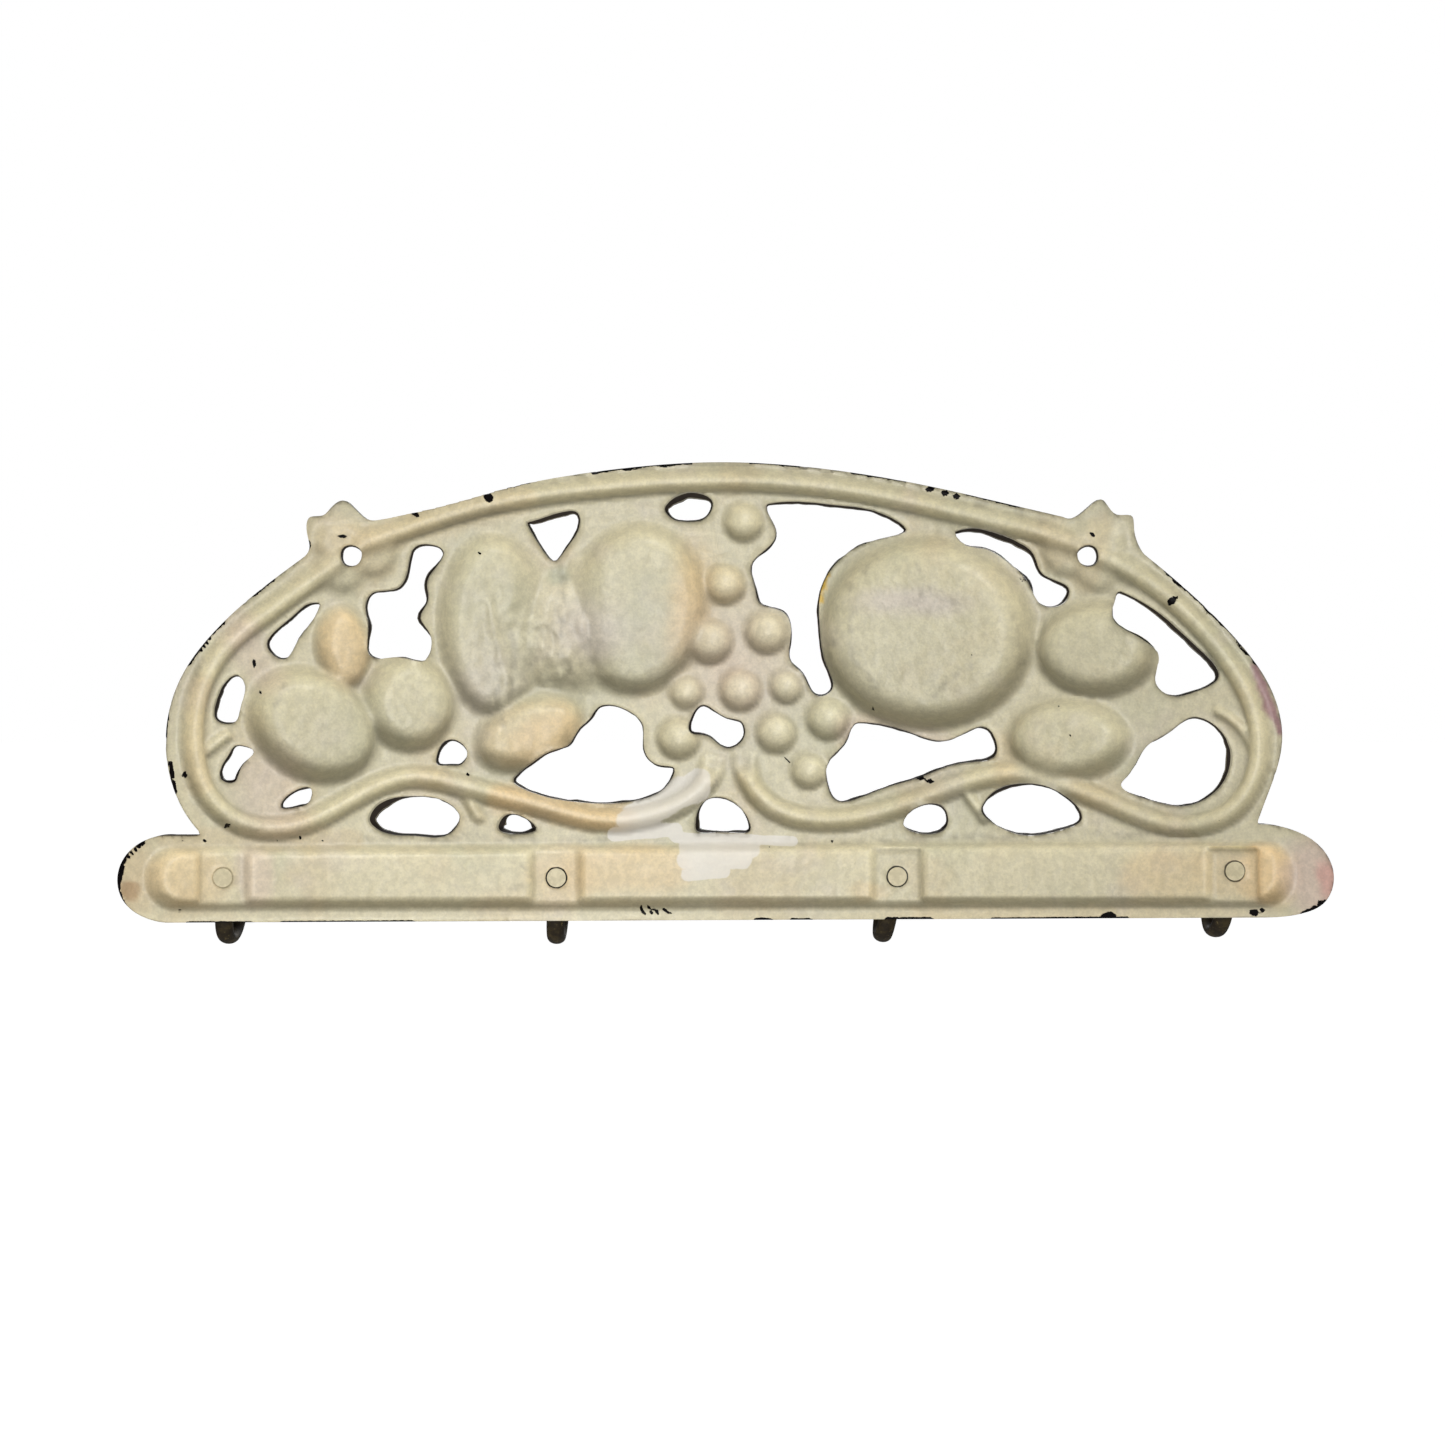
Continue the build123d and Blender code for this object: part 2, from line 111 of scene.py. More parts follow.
# ---------------------------------------------------------------- soft randomness
class Mottle:
    """Smooth seeded noise over the wall plane, from -1 to 1."""

    CELLS = 256
    OFFSET = (91.3, 47.9)
    FADE = 0.55
    FINER = 2.1

    def __init__(self, seed: int, cell: float, octaves: int = 3) -> None:
        """Lay out the random lattices.

        Args:
            seed: Fixes the pattern.
            cell: Size of the broadest feature, in mm.
            octaves: How many finer layers are added.
        """
        rng = np.random.default_rng(seed)
        self.cell = cell
        self.layers = [rng.uniform(-1, 1, (self.CELLS, self.CELLS)) for _ in range(octaves)]

    def __call__(self, x: Grid, z: Grid) -> Grid:
        """Sample the noise.

        Args:
            x: Places along the bar, in mm.
            z: Heights, in mm.

        Returns:
            One value for each place.
        """
        total, weight, reach = np.zeros_like(x, dtype=float), 0.0, 1.0
        cell = self.cell
        for lattice in self.layers:
            u, v = x / cell + self.OFFSET[0], z / cell + self.OFFSET[1]
            i, j = np.floor(u).astype(int), np.floor(v).astype(int)
            s, t = u - i, v - j
            s, t = s * s * (3 - 2 * s), t * t * (3 - 2 * t)
            i0, i1, j0, j1 = (k % self.CELLS for k in (i, i + 1, j, j + 1))
            low = lattice[i0, j0] * (1 - s) + lattice[i1, j0] * s
            high = lattice[i0, j1] * (1 - s) + lattice[i1, j1] * s
            total += reach * (low * (1 - t) + high * t)
            weight += reach
            reach *= self.FADE
            cell /= self.FINER
        return total / weight


def step(low: float, high: float, value: Grid) -> Grid:
    """Rise smoothly from 0 at low to 1 at high."""
    t = np.clip((value - low) / (high - low), 0, 1)
    return t * t * (3 - 2 * t)


# ---------------------------------------------------------------- shapes on the wall plane
@dataclass(frozen=True)
class Oval:
    """A turned oval on the wall plane, in mm, with its turn in degrees."""

    x: float
    z: float
    half_x: float
    half_z: float
    turn: float = 0.0

    def place(self, x: Grid, z: Grid) -> tuple[Grid, Grid]:
        """Give points in the oval's own axes, 1 at its rim along each."""
        a = math.radians(self.turn)
        dx, dz = x - self.x, z - self.z
        along = dx * math.cos(a) + dz * math.sin(a)
        across = -dx * math.sin(a) + dz * math.cos(a)
        return along / self.half_x, across / self.half_z

    def reach(self, x: Grid, z: Grid) -> Grid:
        """Give each point's distance from the centre, 1 on the rim."""
        u, v = self.place(x, z)
        return np.sqrt(u * u + v * v)


@dataclass(frozen=True)
class Stroke:
    """A straight brush stroke or scratch between two points, in mm."""

    x0: float
    z0: float
    x1: float
    z1: float
    half: float

    def reach(self, x: Grid, z: Grid) -> Grid:
        """Give each point's distance from the stroke's line, 1 at its edge."""
        dx, dz = self.x1 - self.x0, self.z1 - self.z0
        t = np.clip(((x - self.x0) * dx + (z - self.z0) * dz) / (dx * dx + dz * dz), 0, 1)
        return np.hypot(x - self.x0 - t * dx, z - self.z0 - t * dz) / self.half


@dataclass(frozen=True)
class Patch:
    """Colour laid over part of the back.

    Attributes:
        shape: Where it lies.
        colour: Its linear colour.
        strength: Cover at its middle, 0 to 1.
        soft: How much of the reach the edge fades over.
    """

    shape: Oval | Stroke
    colour: Colour
    strength: float = 0.6
    soft: float = 0.5


@dataclass(frozen=True)
class Fruit:
    """One fruit or leaf of the relief.

    Attributes:
        shape: Its hollow's oval at the wall plane.
        colour: Front paint.
        blush: Second front colour, laid to one side.
        leaf: Whether it has veins and wrinkles.
        back: Tint of its hollow on the back.
    """

    shape: Oval
    colour: Colour
    blush: Colour
    leaf: bool = False
    back: Colour = OLIVE


FRUIT = (
    Fruit(Oval(-57, -21.2, 28.2, 25.2), paint(214, 164, 52), paint(196, 84, 44)),
    Fruit(Oval(-103.6, -25.6, 15.6, 12.2), paint(222, 186, 66), paint(176, 158, 60)),
    Fruit(Oval(-95.9, -50.4, 15.6, 10.2), paint(96, 62, 110), paint(142, 66, 92)),
    Fruit(Oval(112, -46.5, 17.6, 13.6, 32), paint(172, 44, 38), paint(206, 150, 60)),
    Fruit(Oval(85.4, -40.6, 11.6, 12.2, -20), paint(150, 158, 66), paint(196, 110, 56)),
    Fruit(Oval(103.4, -25.2, 6.6, 10.6, -8), paint(70, 104, 52), paint(112, 128, 58), back=WARM),
    Fruit(Oval(62.4, -19, 13.4, 23.8), paint(58, 98, 52), paint(112, 128, 62), True),
    Fruit(Oval(22.6, -14.6, 17.6, 22.4, 8), paint(64, 108, 54), paint(126, 132, 60), True),
    Fruit(Oval(52.4, -48.4, 14.8, 8.6, -24), paint(104, 58, 98), paint(158, 74, 90), back=WARM),
)
GRAPES = (
    Oval(-6.6, 9.1, 5.3, 5.3), Oval(-1.5, -8, 5.5, 5.5), Oval(2.7, -23.6, 6.2, 6.2),
    Oval(-13, -21.1, 5.9, 5.9), Oval(9.1, -37.6, 4.6, 4.6), Oval(-5.7, -37.1, 5.7, 5.7),
    Oval(-18.3, -36.2, 4.5, 4.5), Oval(-29.8, -44.9, 5.8, 5.8), Oval(-15.5, -48.8, 5.5, 5.5),
    Oval(11.3, -50.2, 5.8, 5.8), Oval(-24.5, -59.2, 4.9, 4.9),
)
VINE_ENDS = (Oval(1.9, -56, 5, 7), Oval(-6.9, -55, 5, 7))
RIVETS = ((136.7, -88.6, 0.25), (44.9, -88.6, 1.0), (-48.9, -88.3, 0.95), (-141.8, -86.8, 0.8))

PATCHES = (
    # Warm, yellowed coats.
    Patch(Oval(146, -88, 13, 8), WARM, 0.6), Patch(Oval(44, -88, 9, 9), WARM, 0.5),
    Patch(Stroke(38, -86.5, 14, -86.5, 7), WARM, 0.6),
    Patch(Stroke(60, -66.5, 27, -71.5, 5), WARM, 0.75),
    Patch(Oval(48, -50, 12, 7, -24), WARM, 0.75), Patch(Oval(103.4, -25.4, 7, 11), WARM, 0.6),
    Patch(Oval(7.5, -12, 7, 17, 8), WARM, 0.75, 0.7), Patch(Oval(-151, -88, 9, 9), WARM, 0.9, 0.3),
    Patch(Stroke(-117, -88, -146, -88, 7), WARM, 0.5), Patch(Oval(-100, -98.4, 60, 2.6), WARM, 0.3),
    Patch(Stroke(100, 3, 55, 15, 5), WARM, 0.25), Patch(Stroke(143, -36, 144, -62, 4), TAN, 0.35),
    Patch(Oval(-42, -92, 6, 3), WARM, 0.4), Patch(Oval(-1.5, -8, 6, 6), WARM, 0.35),
    Patch(Oval(105, 6, 9, 6), TAN, 0.35), Patch(Stroke(-105, 8, -100, -6, 4), WARM, 0.25),
    # Tan and rose lands.
    Patch(Oval(161, -88, 8, 12), TAN, 0.6), Patch(Oval(-163, -88, 8, 12), ROSE, 0.8),
    Patch(Oval(-166.5, -89, 3.5, 6), paint(226, 172, 160), 0.7), Patch(Oval(128, -88, 5, 9), ROSE, 0.5),
    Patch(Oval(-54, -12, 17, 4), LILAC, 0.6, 0.8), Patch(Oval(36, -20, 12, 9), LILAC, 0.5, 0.9),
    Patch(Oval(66, -34, 8, 16), LILAC, 0.25, 0.9),
    Patch(Stroke(126, -60, 122, -70, 9), ROSE, 0.45, 0.8),
    Patch(Oval(-4, -30, 18, 20), ROSE, 0.5, 0.9), Patch(Stroke(133, -20, 125, -32, 6), ROSE, 0.4, 0.8),
    Patch(Stroke(-36, -48, -60, -52, 5), ROSE, 0.5, 0.8),
    Patch(Stroke(100, -78, 152, -78, 3), TAN, 0.4),
    Patch(Stroke(-78, -52, -79, -60, 4), WARM, 0.35, 0.8),
    # Stray marks.
    Patch(Stroke(-147.2, -30.5, -153.6, -49, 1.3), DUSTY_ROSE, 0.85, 0.4),
    Patch(Stroke(-27.4, -12, -29.4, -6.2, 0.9), YELLOW, 0.9, 0.4),
    Patch(Oval(161, -92, 2.8, 3), BROWN, 0.75, 0.3),
    Patch(Oval(44.5, -5.4, 3.6, 2.6), paint(178, 178, 150), 0.8, 0.5),
)
# Thin white paint brushed over the cream, still see-through.
SMEARS = (
    Stroke(24, -73, 11, -65, 4.4), Stroke(12, -66, 5.5, -61.5, 3.2), Stroke(29, -76.6, 12, -75.2, 1.9),
    Stroke(21, -70, 6, -64, 3.8), Stroke(12, -77.5, -20, -78.4, 1.5), Stroke(9, -80.4, -9, -81, 2.4),
    Stroke(9, -84, -6, -83.4, 3.0), Stroke(9, -88, -1, -87, 1.9),
)
# Chips down to the black: x, z, half width, half height, turn.
CHIPS = (
    Oval(146.7, -60.2, 0.9, 1.5), Oval(135.3, -74.3, 1.3, 0.8), Oval(148, -97.6, 1.2, 0.7),
    Oval(69, -60, 1.0, 0.8), Oval(83.6, 11.4, 1.6, 1.0, 20), Oval(63.7, 16.2, 2.0, 1.8),
    Oval(-57.7, 18.2, 1.9, 1.3, -20), Oval(-61.8, 17, 1.4, 1.3, -20), Oval(-65, 16.2, 1.5, 1.2, -20),
    Oval(-55, -61, 2.2, 1.0, 10), Oval(-57.8, -62, 1.6, 1.0), Oval(-30.8, -78.7, 1.0, 0.7),
    Oval(-13.9, -79.8, 0.8, 0.6), Oval(-42.5, -42, 0.9, 0.8), Oval(-106.5, -98.9, 3.2, 1.2),
    Oval(-146.5, -98, 1.9, 1.4), Oval(-165, -95.5, 1.8, 0.9, 40), Oval(-17.4, -1.4, 0.9, 2.6, 12),
    Oval(-124.9, -12.3, 2.6, 1.3, -40), Oval(-107, -98.6, 1.8, 1.3), Oval(-148.8, -97.4, 1.2, 1.0),
    Oval(-21, 0.4, 1.0, 0.9), Oval(-83.2, -6.6, 1.4, 1.0), Oval(-84.4, -5.2, 0.8, 1.3),
    Oval(-102.5, 5.8, 1.2, 0.8, 30), Oval(103.6, 5.2, 2.0, 0.8), Oval(112.6, 3, 0.7, 2.0),
    Oval(127.5, -29.6, 0.8, 1.8), Oval(107, -42.8, 0.6, 0.5), Oval(105, -42.8, 0.5, 0.4),
    Oval(126.5, -37.5, 0.6, 0.9), Oval(-93.5, -41.3, 0.7, 0.4), Oval(-97.5, -49.3, 0.4, 0.6),
    Oval(66.3, 1.0, 0.7, 0.5), Oval(58.9, 1.4, 0.7, 0.6), Oval(-24.7, -38.4, 0.5, 0.5),
    Oval(-129, -53, 1.8, 0.9, 40), Oval(-78.6, -10.5, 0.5, 0.5), Oval(-70.5, -26.8, 0.4, 0.4),
    Oval(-40, 3.5, 0.6, 0.6), Oval(109, -78.4, 0.6, 0.5), Oval(115, -77.6, 0.5, 0.8),
    Oval(121, -78.2, 0.6, 0.5), Oval(128, -77.9, 0.8, 0.4), Oval(137, -77.9, 0.6, 0.9),
    Oval(141, -78.3, 0.9, 0.7), Oval(147, -78, 0.7, 1.0), Oval(-138, -72.6, 0.6, 0.5),
    Oval(30.6, -77.2, 0.5, 0.4), Oval(-79, -81, 0.5, 1.0), Oval(163.8, -76.5, 0.6, 0.6),
)
# Scratches, cracks and bare edges down to the black.
SCRATCHES = (
    Stroke(21.6, -96.6, 20.6, -98.4, 0.45), Stroke(19.4, -96.4, 18.8, -98, 0.4),
    Stroke(17.6, -96.8, 17, -98.4, 0.45), Stroke(15.4, -97, 13.6, -98.2, 0.4),
    Stroke(-16, -54, -19.2, -57, 0.22),
    Stroke(158, -78.6, 163.4, -83.6, 0.7), Stroke(163.4, -83.6, 165.1, -90, 0.9),
    Stroke(165, -90, 163.4, -95.6, 0.5), Stroke(150.6, -57, 149.4, -65, 0.7),
    Stroke(151.4, -42, 151.9, -50, 0.4), Stroke(145.6, -30, 136, -18.6, 0.55),
    Stroke(128, -11.2, 122, -6.6, 0.35), Stroke(146, -100.9, 128, -100.9, 0.5),
    Stroke(120, -100.9, 84, -100.7, 0.6), Stroke(-10, -100.1, -14, -100.1, 0.7),
    Stroke(-20, -100.1, -25, -100.1, 0.6), Stroke(-46, -100, -58, -100, 0.8),
    Stroke(-75, -99.9, -112, -99.6, 0.55), Stroke(-160, -98.4, -166, -95.2, 0.7),
    Stroke(35, 22.7, 8, 25.3, 0.45), Stroke(60, 18.4, 52, 20.2, 0.35), Stroke(-8, 25.2, -22, 24.3, 0.3),
    Stroke(-36, 22.8, -52, 20.4, 0.4), Stroke(-68, 16.8, -82, 13.4, 0.3),
    Stroke(-122, -4.6, -136, -17, 0.5), Stroke(-136, -17, -147, -30, 0.45),
)
# Hairline cracks and dirty scratches that only grey the cream.
HAIRLINES = (
    Stroke(66, 4.8, 62, 3.6, 0.5), Stroke(-55, -2, -55.4, -8, 0.4),
    Stroke(-55.4, -8, -56.6, -11.5, 0.4),
    Stroke(62, -24, 60, -46, 0.6), Stroke(57.6, -22, 57, -44, 0.5), Stroke(138, -73.2, 128, -75.6, 0.5),
    Stroke(53, -87, 57, -84.6, 0.5), Stroke(53, -89.6, 57, -91.6, 0.5),
    Stroke(52, -88.4, 56.6, -88.2, 0.4),
    Stroke(44, -2, 42, -14, 0.6), Stroke(42, -14, 46, -24, 0.6), Stroke(46, -24, 41, -33, 0.6),
    Stroke(-38, -14, -36.5, -26, 0.7), Stroke(-36.5, -26, -44, -36, 0.7),
    Stroke(-70, -31, -58, -38, 0.6),
    Stroke(-66, -12, -58, -8.5, 0.6), Stroke(-82, -14, -83, -30, 0.7), Stroke(-36, -8, -44, 0, 0.8),
    Stroke(-31, -30, -33, -14, 0.6), Stroke(143, -28, 146, -36, 0.5), Stroke(120, -35, 124, -41, 0.6),
    Stroke(30, -77.4, 96, -77.8, 0.5), Stroke(-22, -79, -130, -76, 0.5), Stroke(-70, 14.5, -92, 9, 0.7),
)
# Rose touches on the front's rail and bar end.
ROSE_RAILS = (
    Stroke(-140, -24, -156, -56, 5), Stroke(150, -30, 154, -60, 4),
    Stroke(-168, -80, -168, -96, 5),
)
# Front rims that stand into a window further than the rest: place, spread, extra mm.
LIPS = (
    ((12.0, 16.2), 5.0, 1.6), ((4.5, 16.4), 3.0, 0.8), ((96.0, -71.6), 5.0, 1.5),
    ((91.0, -67.2), 4.0, 0.8), ((60.6, -73.2), 2.6, 1.9), ((50.4, -75.0), 2.4, 1.2),
    ((46.0, 11.2), 7.0, 1.0), ((80.0, -8.0), 5.0, 0.9), ((-77.0, -63.6), 6.0, 1.0),
    ((6.4, -74.4), 3.4, 1.2), ((-138.0, -58.0), 7.0, 0.7), ((-128.0, -23.0), 12.0, 0.5),
    ((132.5, -61.5), 3.0, 0.9), ((-78.0, 3.6), 9.0, 0.9), ((-84.0, -8.0), 4.0, 1.0),
    ((6.5, -47.5), 3.0, 0.7), ((93.5, -67.5), 3.5, 0.6), ((82.0, -17.0), 3.0, 0.8),
)


# ---------------------------------------------------------------- depths of the casting
class Depths:
    """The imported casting's back and front depths over an even grid on the wall plane, in mm."""

    FINE = 0.45
    MARGIN = 2.7  # empty border kept around the casting, in mm
    BEHIND = 0.01  # where rays start behind the wall plane, in m
    IN_FRONT = -0.05  # and beyond the front

    def __init__(self, node: bpy.types.Object) -> None:
        """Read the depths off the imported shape.

        Args:
            node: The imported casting.
        """
        mesh = node.data
        points = [v.co.copy() for v in mesh.vertices]
        faces = [tuple(p.vertices) for p in mesh.polygons]
        self.tree = BVHTree.FromPolygons(points, faces)
        low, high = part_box(node.name)
        self.low = (low.x / MM, low.z / MM)
        self.high = (high.x / MM, high.z / MM)
        self.x = np.arange(self.low[0] - self.MARGIN, self.high[0] + self.MARGIN, self.FINE)
        self.z = np.arange(self.low[1] - self.MARGIN, self.high[1] + self.MARGIN, self.FINE)
        if len(self.x) % 2 == 0:
            self.x = self.x[:-1]
        if len(self.z) % 2 == 0:
            self.z = self.z[:-1]
        shape = (len(self.x), len(self.z))
        self.solid = np.zeros(shape, bool)
        self.back = np.zeros(shape)
        self.front = np.zeros(shape)
        into_wall, out_of_wall = Vector((0, 1, 0)), Vector((0, -1, 0))
        for i, x in enumerate(self.x):
            for j, z in enumerate(self.z):
                hit = self.tree.ray_cast(Vector((x * MM, self.BEHIND, z * MM)), out_of_wall)[0]
                if hit is None:
                    continue
                far = self.tree.ray_cast(Vector((x * MM, self.IN_FRONT, z * MM)), into_wall)[0]
                if far is None:
                    continue
                self.solid[i, j] = True
                self.back[i, j] = -hit.y / MM
                self.front[i, j] = -far.y / MM

    def is_solid(self, x: float, z: float) -> bool:
        """Say whether there is metal at a place on the wall plane."""
        start = Vector((x * MM, self.BEHIND, z * MM))
        return self.tree.ray_cast(start, Vector((0, -1, 0)))[0] is not None

    def soften(self, values: Grid, sigma: float) -> Grid:
        """Blur values over the metal alone.

        Args:
            values: One value for each fine grid point.
            sigma: Spread of the blur, in mm.

        Returns:
            The blurred values, carried on past the metal's edge.
        """
        weight = self.spread(self.solid.astype(float), sigma)
        return self.spread(values * self.solid, sigma) / np.maximum(weight, 1e-6)

    def spread(self, values: Grid, sigma: float) -> Grid:
        """Blur values over the whole grid.

        Args:
            values: One value for each fine grid point.
            sigma: Spread of the blur, in mm.

        Returns:
            The blurred values.
        """
        reach = max(1, int(round(3 * sigma / self.FINE)))
        taps = np.exp(-0.5 * (np.arange(-reach, reach + 1) * self.FINE / sigma) ** 2)
        taps /= taps.sum()
        for axis in (0, 1):
            padded = np.pad(values, [(reach, reach) if a == axis else (0, 0) for a in (0, 1)])
            size = values.shape[axis]
            values = sum(
                tap * padded.take(np.arange(k, k + size), axis=axis) for k, tap in enumerate(taps)
            )
        return values


class Coat:
    """Colours being mixed, one for each point."""

    def __init__(self, count: int, ground: Colour) -> None:
        """Start with one colour everywhere."""
        self.colour = np.tile(np.array(ground), (count, 1))

    def lay(self, cover: Grid, over: Colour) -> None:
        """Lay a colour over the rest.

        Args:
            cover: How much it hides at each point, 0 to 1.
            over: The colour laid on.
        """
        cover = np.clip(cover, 0, 1)[:, None]
        self.colour = self.colour * (1 - cover) + np.array(over) * cover


# ---------------------------------------------------------------- the casting's skin
@dataclass
class Casting:
    """The painted casting as one closed skin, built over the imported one.

    Attributes:
        node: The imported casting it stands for.
        wall_steps: Cuts between the back rim and the front rim.
    """

    node: bpy.types.Object
    wall_steps: int = 3
    depths: Depths = field(init=False)
    keep: Grid = field(init=False)

    def build(self) -> bpy.types.Object:
        """Make the skin, paint it and set it on the rack.

        Returns:
            The finished piece.
        """
        self.depths = Depths(self.node)
        LOG.info("read %d places of metal", int(self.depths.solid.sum()))
        back, front, hollow = self._surfaces()
        self.keep = self._kept_cells()
        rim_back, rim_front = self._rims()
        piece = self._skin(back, front, rim_back, rim_front)
        self._record_paint(piece.data, hollow)
        piece.data.materials.append(CastingPaint().material())
        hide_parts(self.node.name)
        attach(piece, "rack")
        return piece

    # ---- surfaces
    def _surfaces(self) -> tuple[Grid, Grid, Grid]:
        """Give the softened back and front depths, and the back's creases, on the fine grid."""
        d = self.depths
        x, z = np.meshgrid(d.x, d.z, indexing="ij")
        crisp, broad = d.soften(d.back, 0.42), d.soften(d.back, 1.25)
        inside = np.zeros_like(crisp)
        for fruit in FRUIT:
            inside = np.maximum(inside, 1 - step(1.05, 1.3, fruit.shape.reach(x, z)))
        for side in (1, -1):
            inside = np.maximum(inside, 1 - step(0.9, 1.2, Oval(side * 103, 2, 15, 13).reach(x, z)))
        back = crisp + (broad - crisp) * inside * 0.9
        back = self._join_leaves(back, x, z)
        for end in VINE_ENDS:
            back *= 1 - 0.85 * (1 - step(0.25, 1.0, end.reach(x, z)))
        back += self._wrinkles(x, z)
        back += 0.10 * Mottle(3, 9.0)(x, z) * step(0.4, 2.5, back) + 0.05 * Mottle(4, 3.0)(x, z)
        back = np.maximum(back, 0.03)
        hollow = np.stack([back - d.soften(back, 1.3), np.gradient(back, d.FINE, axis=1)])

        front = d.soften(d.front, 0.7)
        dome = np.zeros_like(front)
        for fruit in FRUIT:
            u = np.clip(fruit.shape.reach(x, z) / 1.1, 0, 1)
            column = np.argmin(abs(d.x - fruit.shape.x))
            peak = float(d.front[column, np.argmin(abs(d.z - fruit.shape.z))])
            rise = np.sqrt(np.maximum(1 - u**2.6, 0))
            shape = 3.0 + (peak - 3.0) * rise
            if fruit.leaf:
                shape -= self._veins(fruit.shape, x, z) * step(0.02, 0.3, 1 - u)
            dome = np.maximum(dome, shape * (u < 1))
        front = np.maximum(front * 0.25 + np.maximum(dome, 3.0) * 0.75, front * (dome <= 3.0))
        near_edge = np.zeros_like(front)
        for fruit in FRUIT:
            away = np.abs(fruit.shape.reach(x, z) / 1.1 - 1)
            near_edge = np.maximum(near_edge, 1 - step(0.08, 0.3, away))
        front += (d.soften(front, 1.5) - front) * near_edge
        front = np.maximum(np.minimum(front, d.front.max() - 0.05), back + 1.5)
        front += 0.08 * Mottle(7, 5.0)(x, z) - 0.08
        return back, front, hollow

    def _join_leaves(self, back: Grid, x: Grid, z: Grid) -> Grid:
        """Run the two leaves' hollows into each other, with a shallow crumpled stretch between."""
        between = 1 - step(0.6, 1.15, Oval(44, -20, 19, 21).reach(x, z))
        loose = self.depths.soften(back, 3.4)
        saddle = 5.3 * (1 - step(0.25, 1.1, Oval(44, -22, 20, 20).reach(x, z)))
        return back + (np.maximum(loose, saddle) - back) * between

    @staticmethod
    def _wrinkles(x: Grid, z: Grid) -> Grid:
        """Give the crumpled relief inside the leaves' hollows, as extra depth in mm."""
        ridge = Mottle(11, 7.5, 4)(x * 1.5, z * 0.55)
        knots = Mottle(12, 3.6, 3)(x, z)
        extra = np.zeros_like(x)
        for shape, strength in (
            (Oval(58, -26, 11, 26), 0.7), (Oval(43, -26, 10, 16), 1.0), (Oval(66, -50, 10, 10), 0.5),
        ):
            cover = 1 - step(0.5, 1.1, shape.reach(x, z))
            extra += strength * cover * (np.abs(ridge) * 1.4 - 0.3 + 0.45 * knots)
        for groove, depth in (
            (Stroke(64, -12, 59, -34, 1.1), 0.55), (Stroke(59, -34, 62, -50, 1.0), 0.45),
            (Stroke(58, -20, 57, -40, 0.8), -0.4), (Stroke(42, -2, 47, -22, 1.6), -0.35),
            (Stroke(40, -24, 44, -34, 1.2), 0.45), (Stroke(46, -22, 48, -32, 0.9), -0.4),
            (Stroke(30, -36, 40, -22, 1.3), -0.25),
        ):
            extra += depth * np.exp(-(groove.reach(x, z) ** 2))
        return extra

    @staticmethod
    def _veins(leaf: Oval, x: Grid, z: Grid) -> Grid:
        """Give how deep the veins and lobes of a leaf's front are cut, in mm."""
        u, v = leaf.place(x, z)
        rib = np.exp(-((u / 0.06) ** 2)) * 0.9
        slant = (v * 5.2 + np.abs(u) * 2.6) % 1.0
        side = np.exp(-(((slant - 0.5) / 0.13) ** 2)) * 0.65 * step(0.04, 0.2, np.abs(u))
        lobes = 0.9 * step(0.55, 1.0, np.abs(u)) * (0.5 + 0.5 * np.cos(v * 5.2 * 2 * math.pi))
        return rib + side + lobes

    # ---- outline
    def _kept_cells(self) -> Grid:
        """Say which cells of the coarse grid are metal, with no cells joined by a corner alone."""
        keep = self.depths.solid[1::2, 1::2].copy()
        keep = keep[: (self.depths.solid.shape[0] - 1) // 2, : (self.depths.solid.shape[1] - 1) // 2]
        for _ in range(3):
            a, b, c, d = keep[:-1, :-1], keep[1:, :-1], keep[:-1, 1:], keep[1:, 1:]
            cross = (a & d & ~b & ~c) | (b & c & ~a & ~d)
            if not cross.any():
                break
            for dx in (0, 1):
                for dz in (0, 1):
                    keep[dx : dx + cross.shape[0], dz : dz + cross.shape[1]] |= cross
        return keep

    def _open_outside(self) -> Grid:
        """Mark the empty cells that lie outside the casting's outline, and not in a window."""
        seen = np.zeros_like(self.keep)
        waiting = [(0, 0)]
        seen[0, 0] = True
        while waiting:
            i, j = waiting.pop()
            for a, b in ((i + 1, j), (i - 1, j), (i, j + 1), (i, j - 1)):
                if 0 <= a < seen.shape[0] and 0 <= b < seen.shape[1]:
                    if not seen[a, b] and not self.keep[a, b]:
                        seen[a, b] = True
                        waiting.append((a, b))
        return seen

    def _rims(self) -> tuple[dict, dict]:
        """Find where the skin's rim meets the metal's edge, on the back and on the front.

        Returns:
            For the back and the front, grid index to (x, z) in mm.
        """
        d = self.depths
        density = d.spread(d.solid.astype(float), 0.8)
        gx, gz = np.gradient(density)
        outside = self._open_outside()
        rough = Mottle(21, 4.0, 2)
        rows, columns = self.keep.shape
        back, front = {}, {}
        for i in range(rows + 1):
            for j in range(columns + 1):
                near = [
                    (a, b)
                    for a in (i - 1, i)
                    for b in (j - 1, j)
                    if 0 <= a < rows and 0 <= b < columns
                ]
                held = [self.keep[c] for c in near]
                if not any(held) or all(held):
                    continue
                way = Vector((-gx[2 * i, 2 * j], -gz[2 * i, 2 * j]))
                if way.length < 1e-9:
                    continue
                way.normalize()
                start = Vector((d.x[2 * i], d.z[2 * j]))
                edge = self._edge_along(start, way)
                back[i, j] = edge
                window = not any(outside[c] for c in near)
                lean = 0.12
                if window:
                    wobble = float(rough(np.array([edge.x]), np.array([edge.y]))[0])
                    lean = 0.4 + 0.35 * wobble
                    for (lx, lz), spread, extra in LIPS:
                        away = (edge.x - lx) ** 2 + (edge.y - lz) ** 2
                        lean += extra * math.exp(-(away / spread**2))
                front[i, j] = edge + way * lean
        for rim in (back, front):
            for place in rim.values():
                place.x = min(max(place.x, d.low[0]), d.high[0])
                place.y = min(max(place.y, d.low[1]), d.high[1])
        return back, front

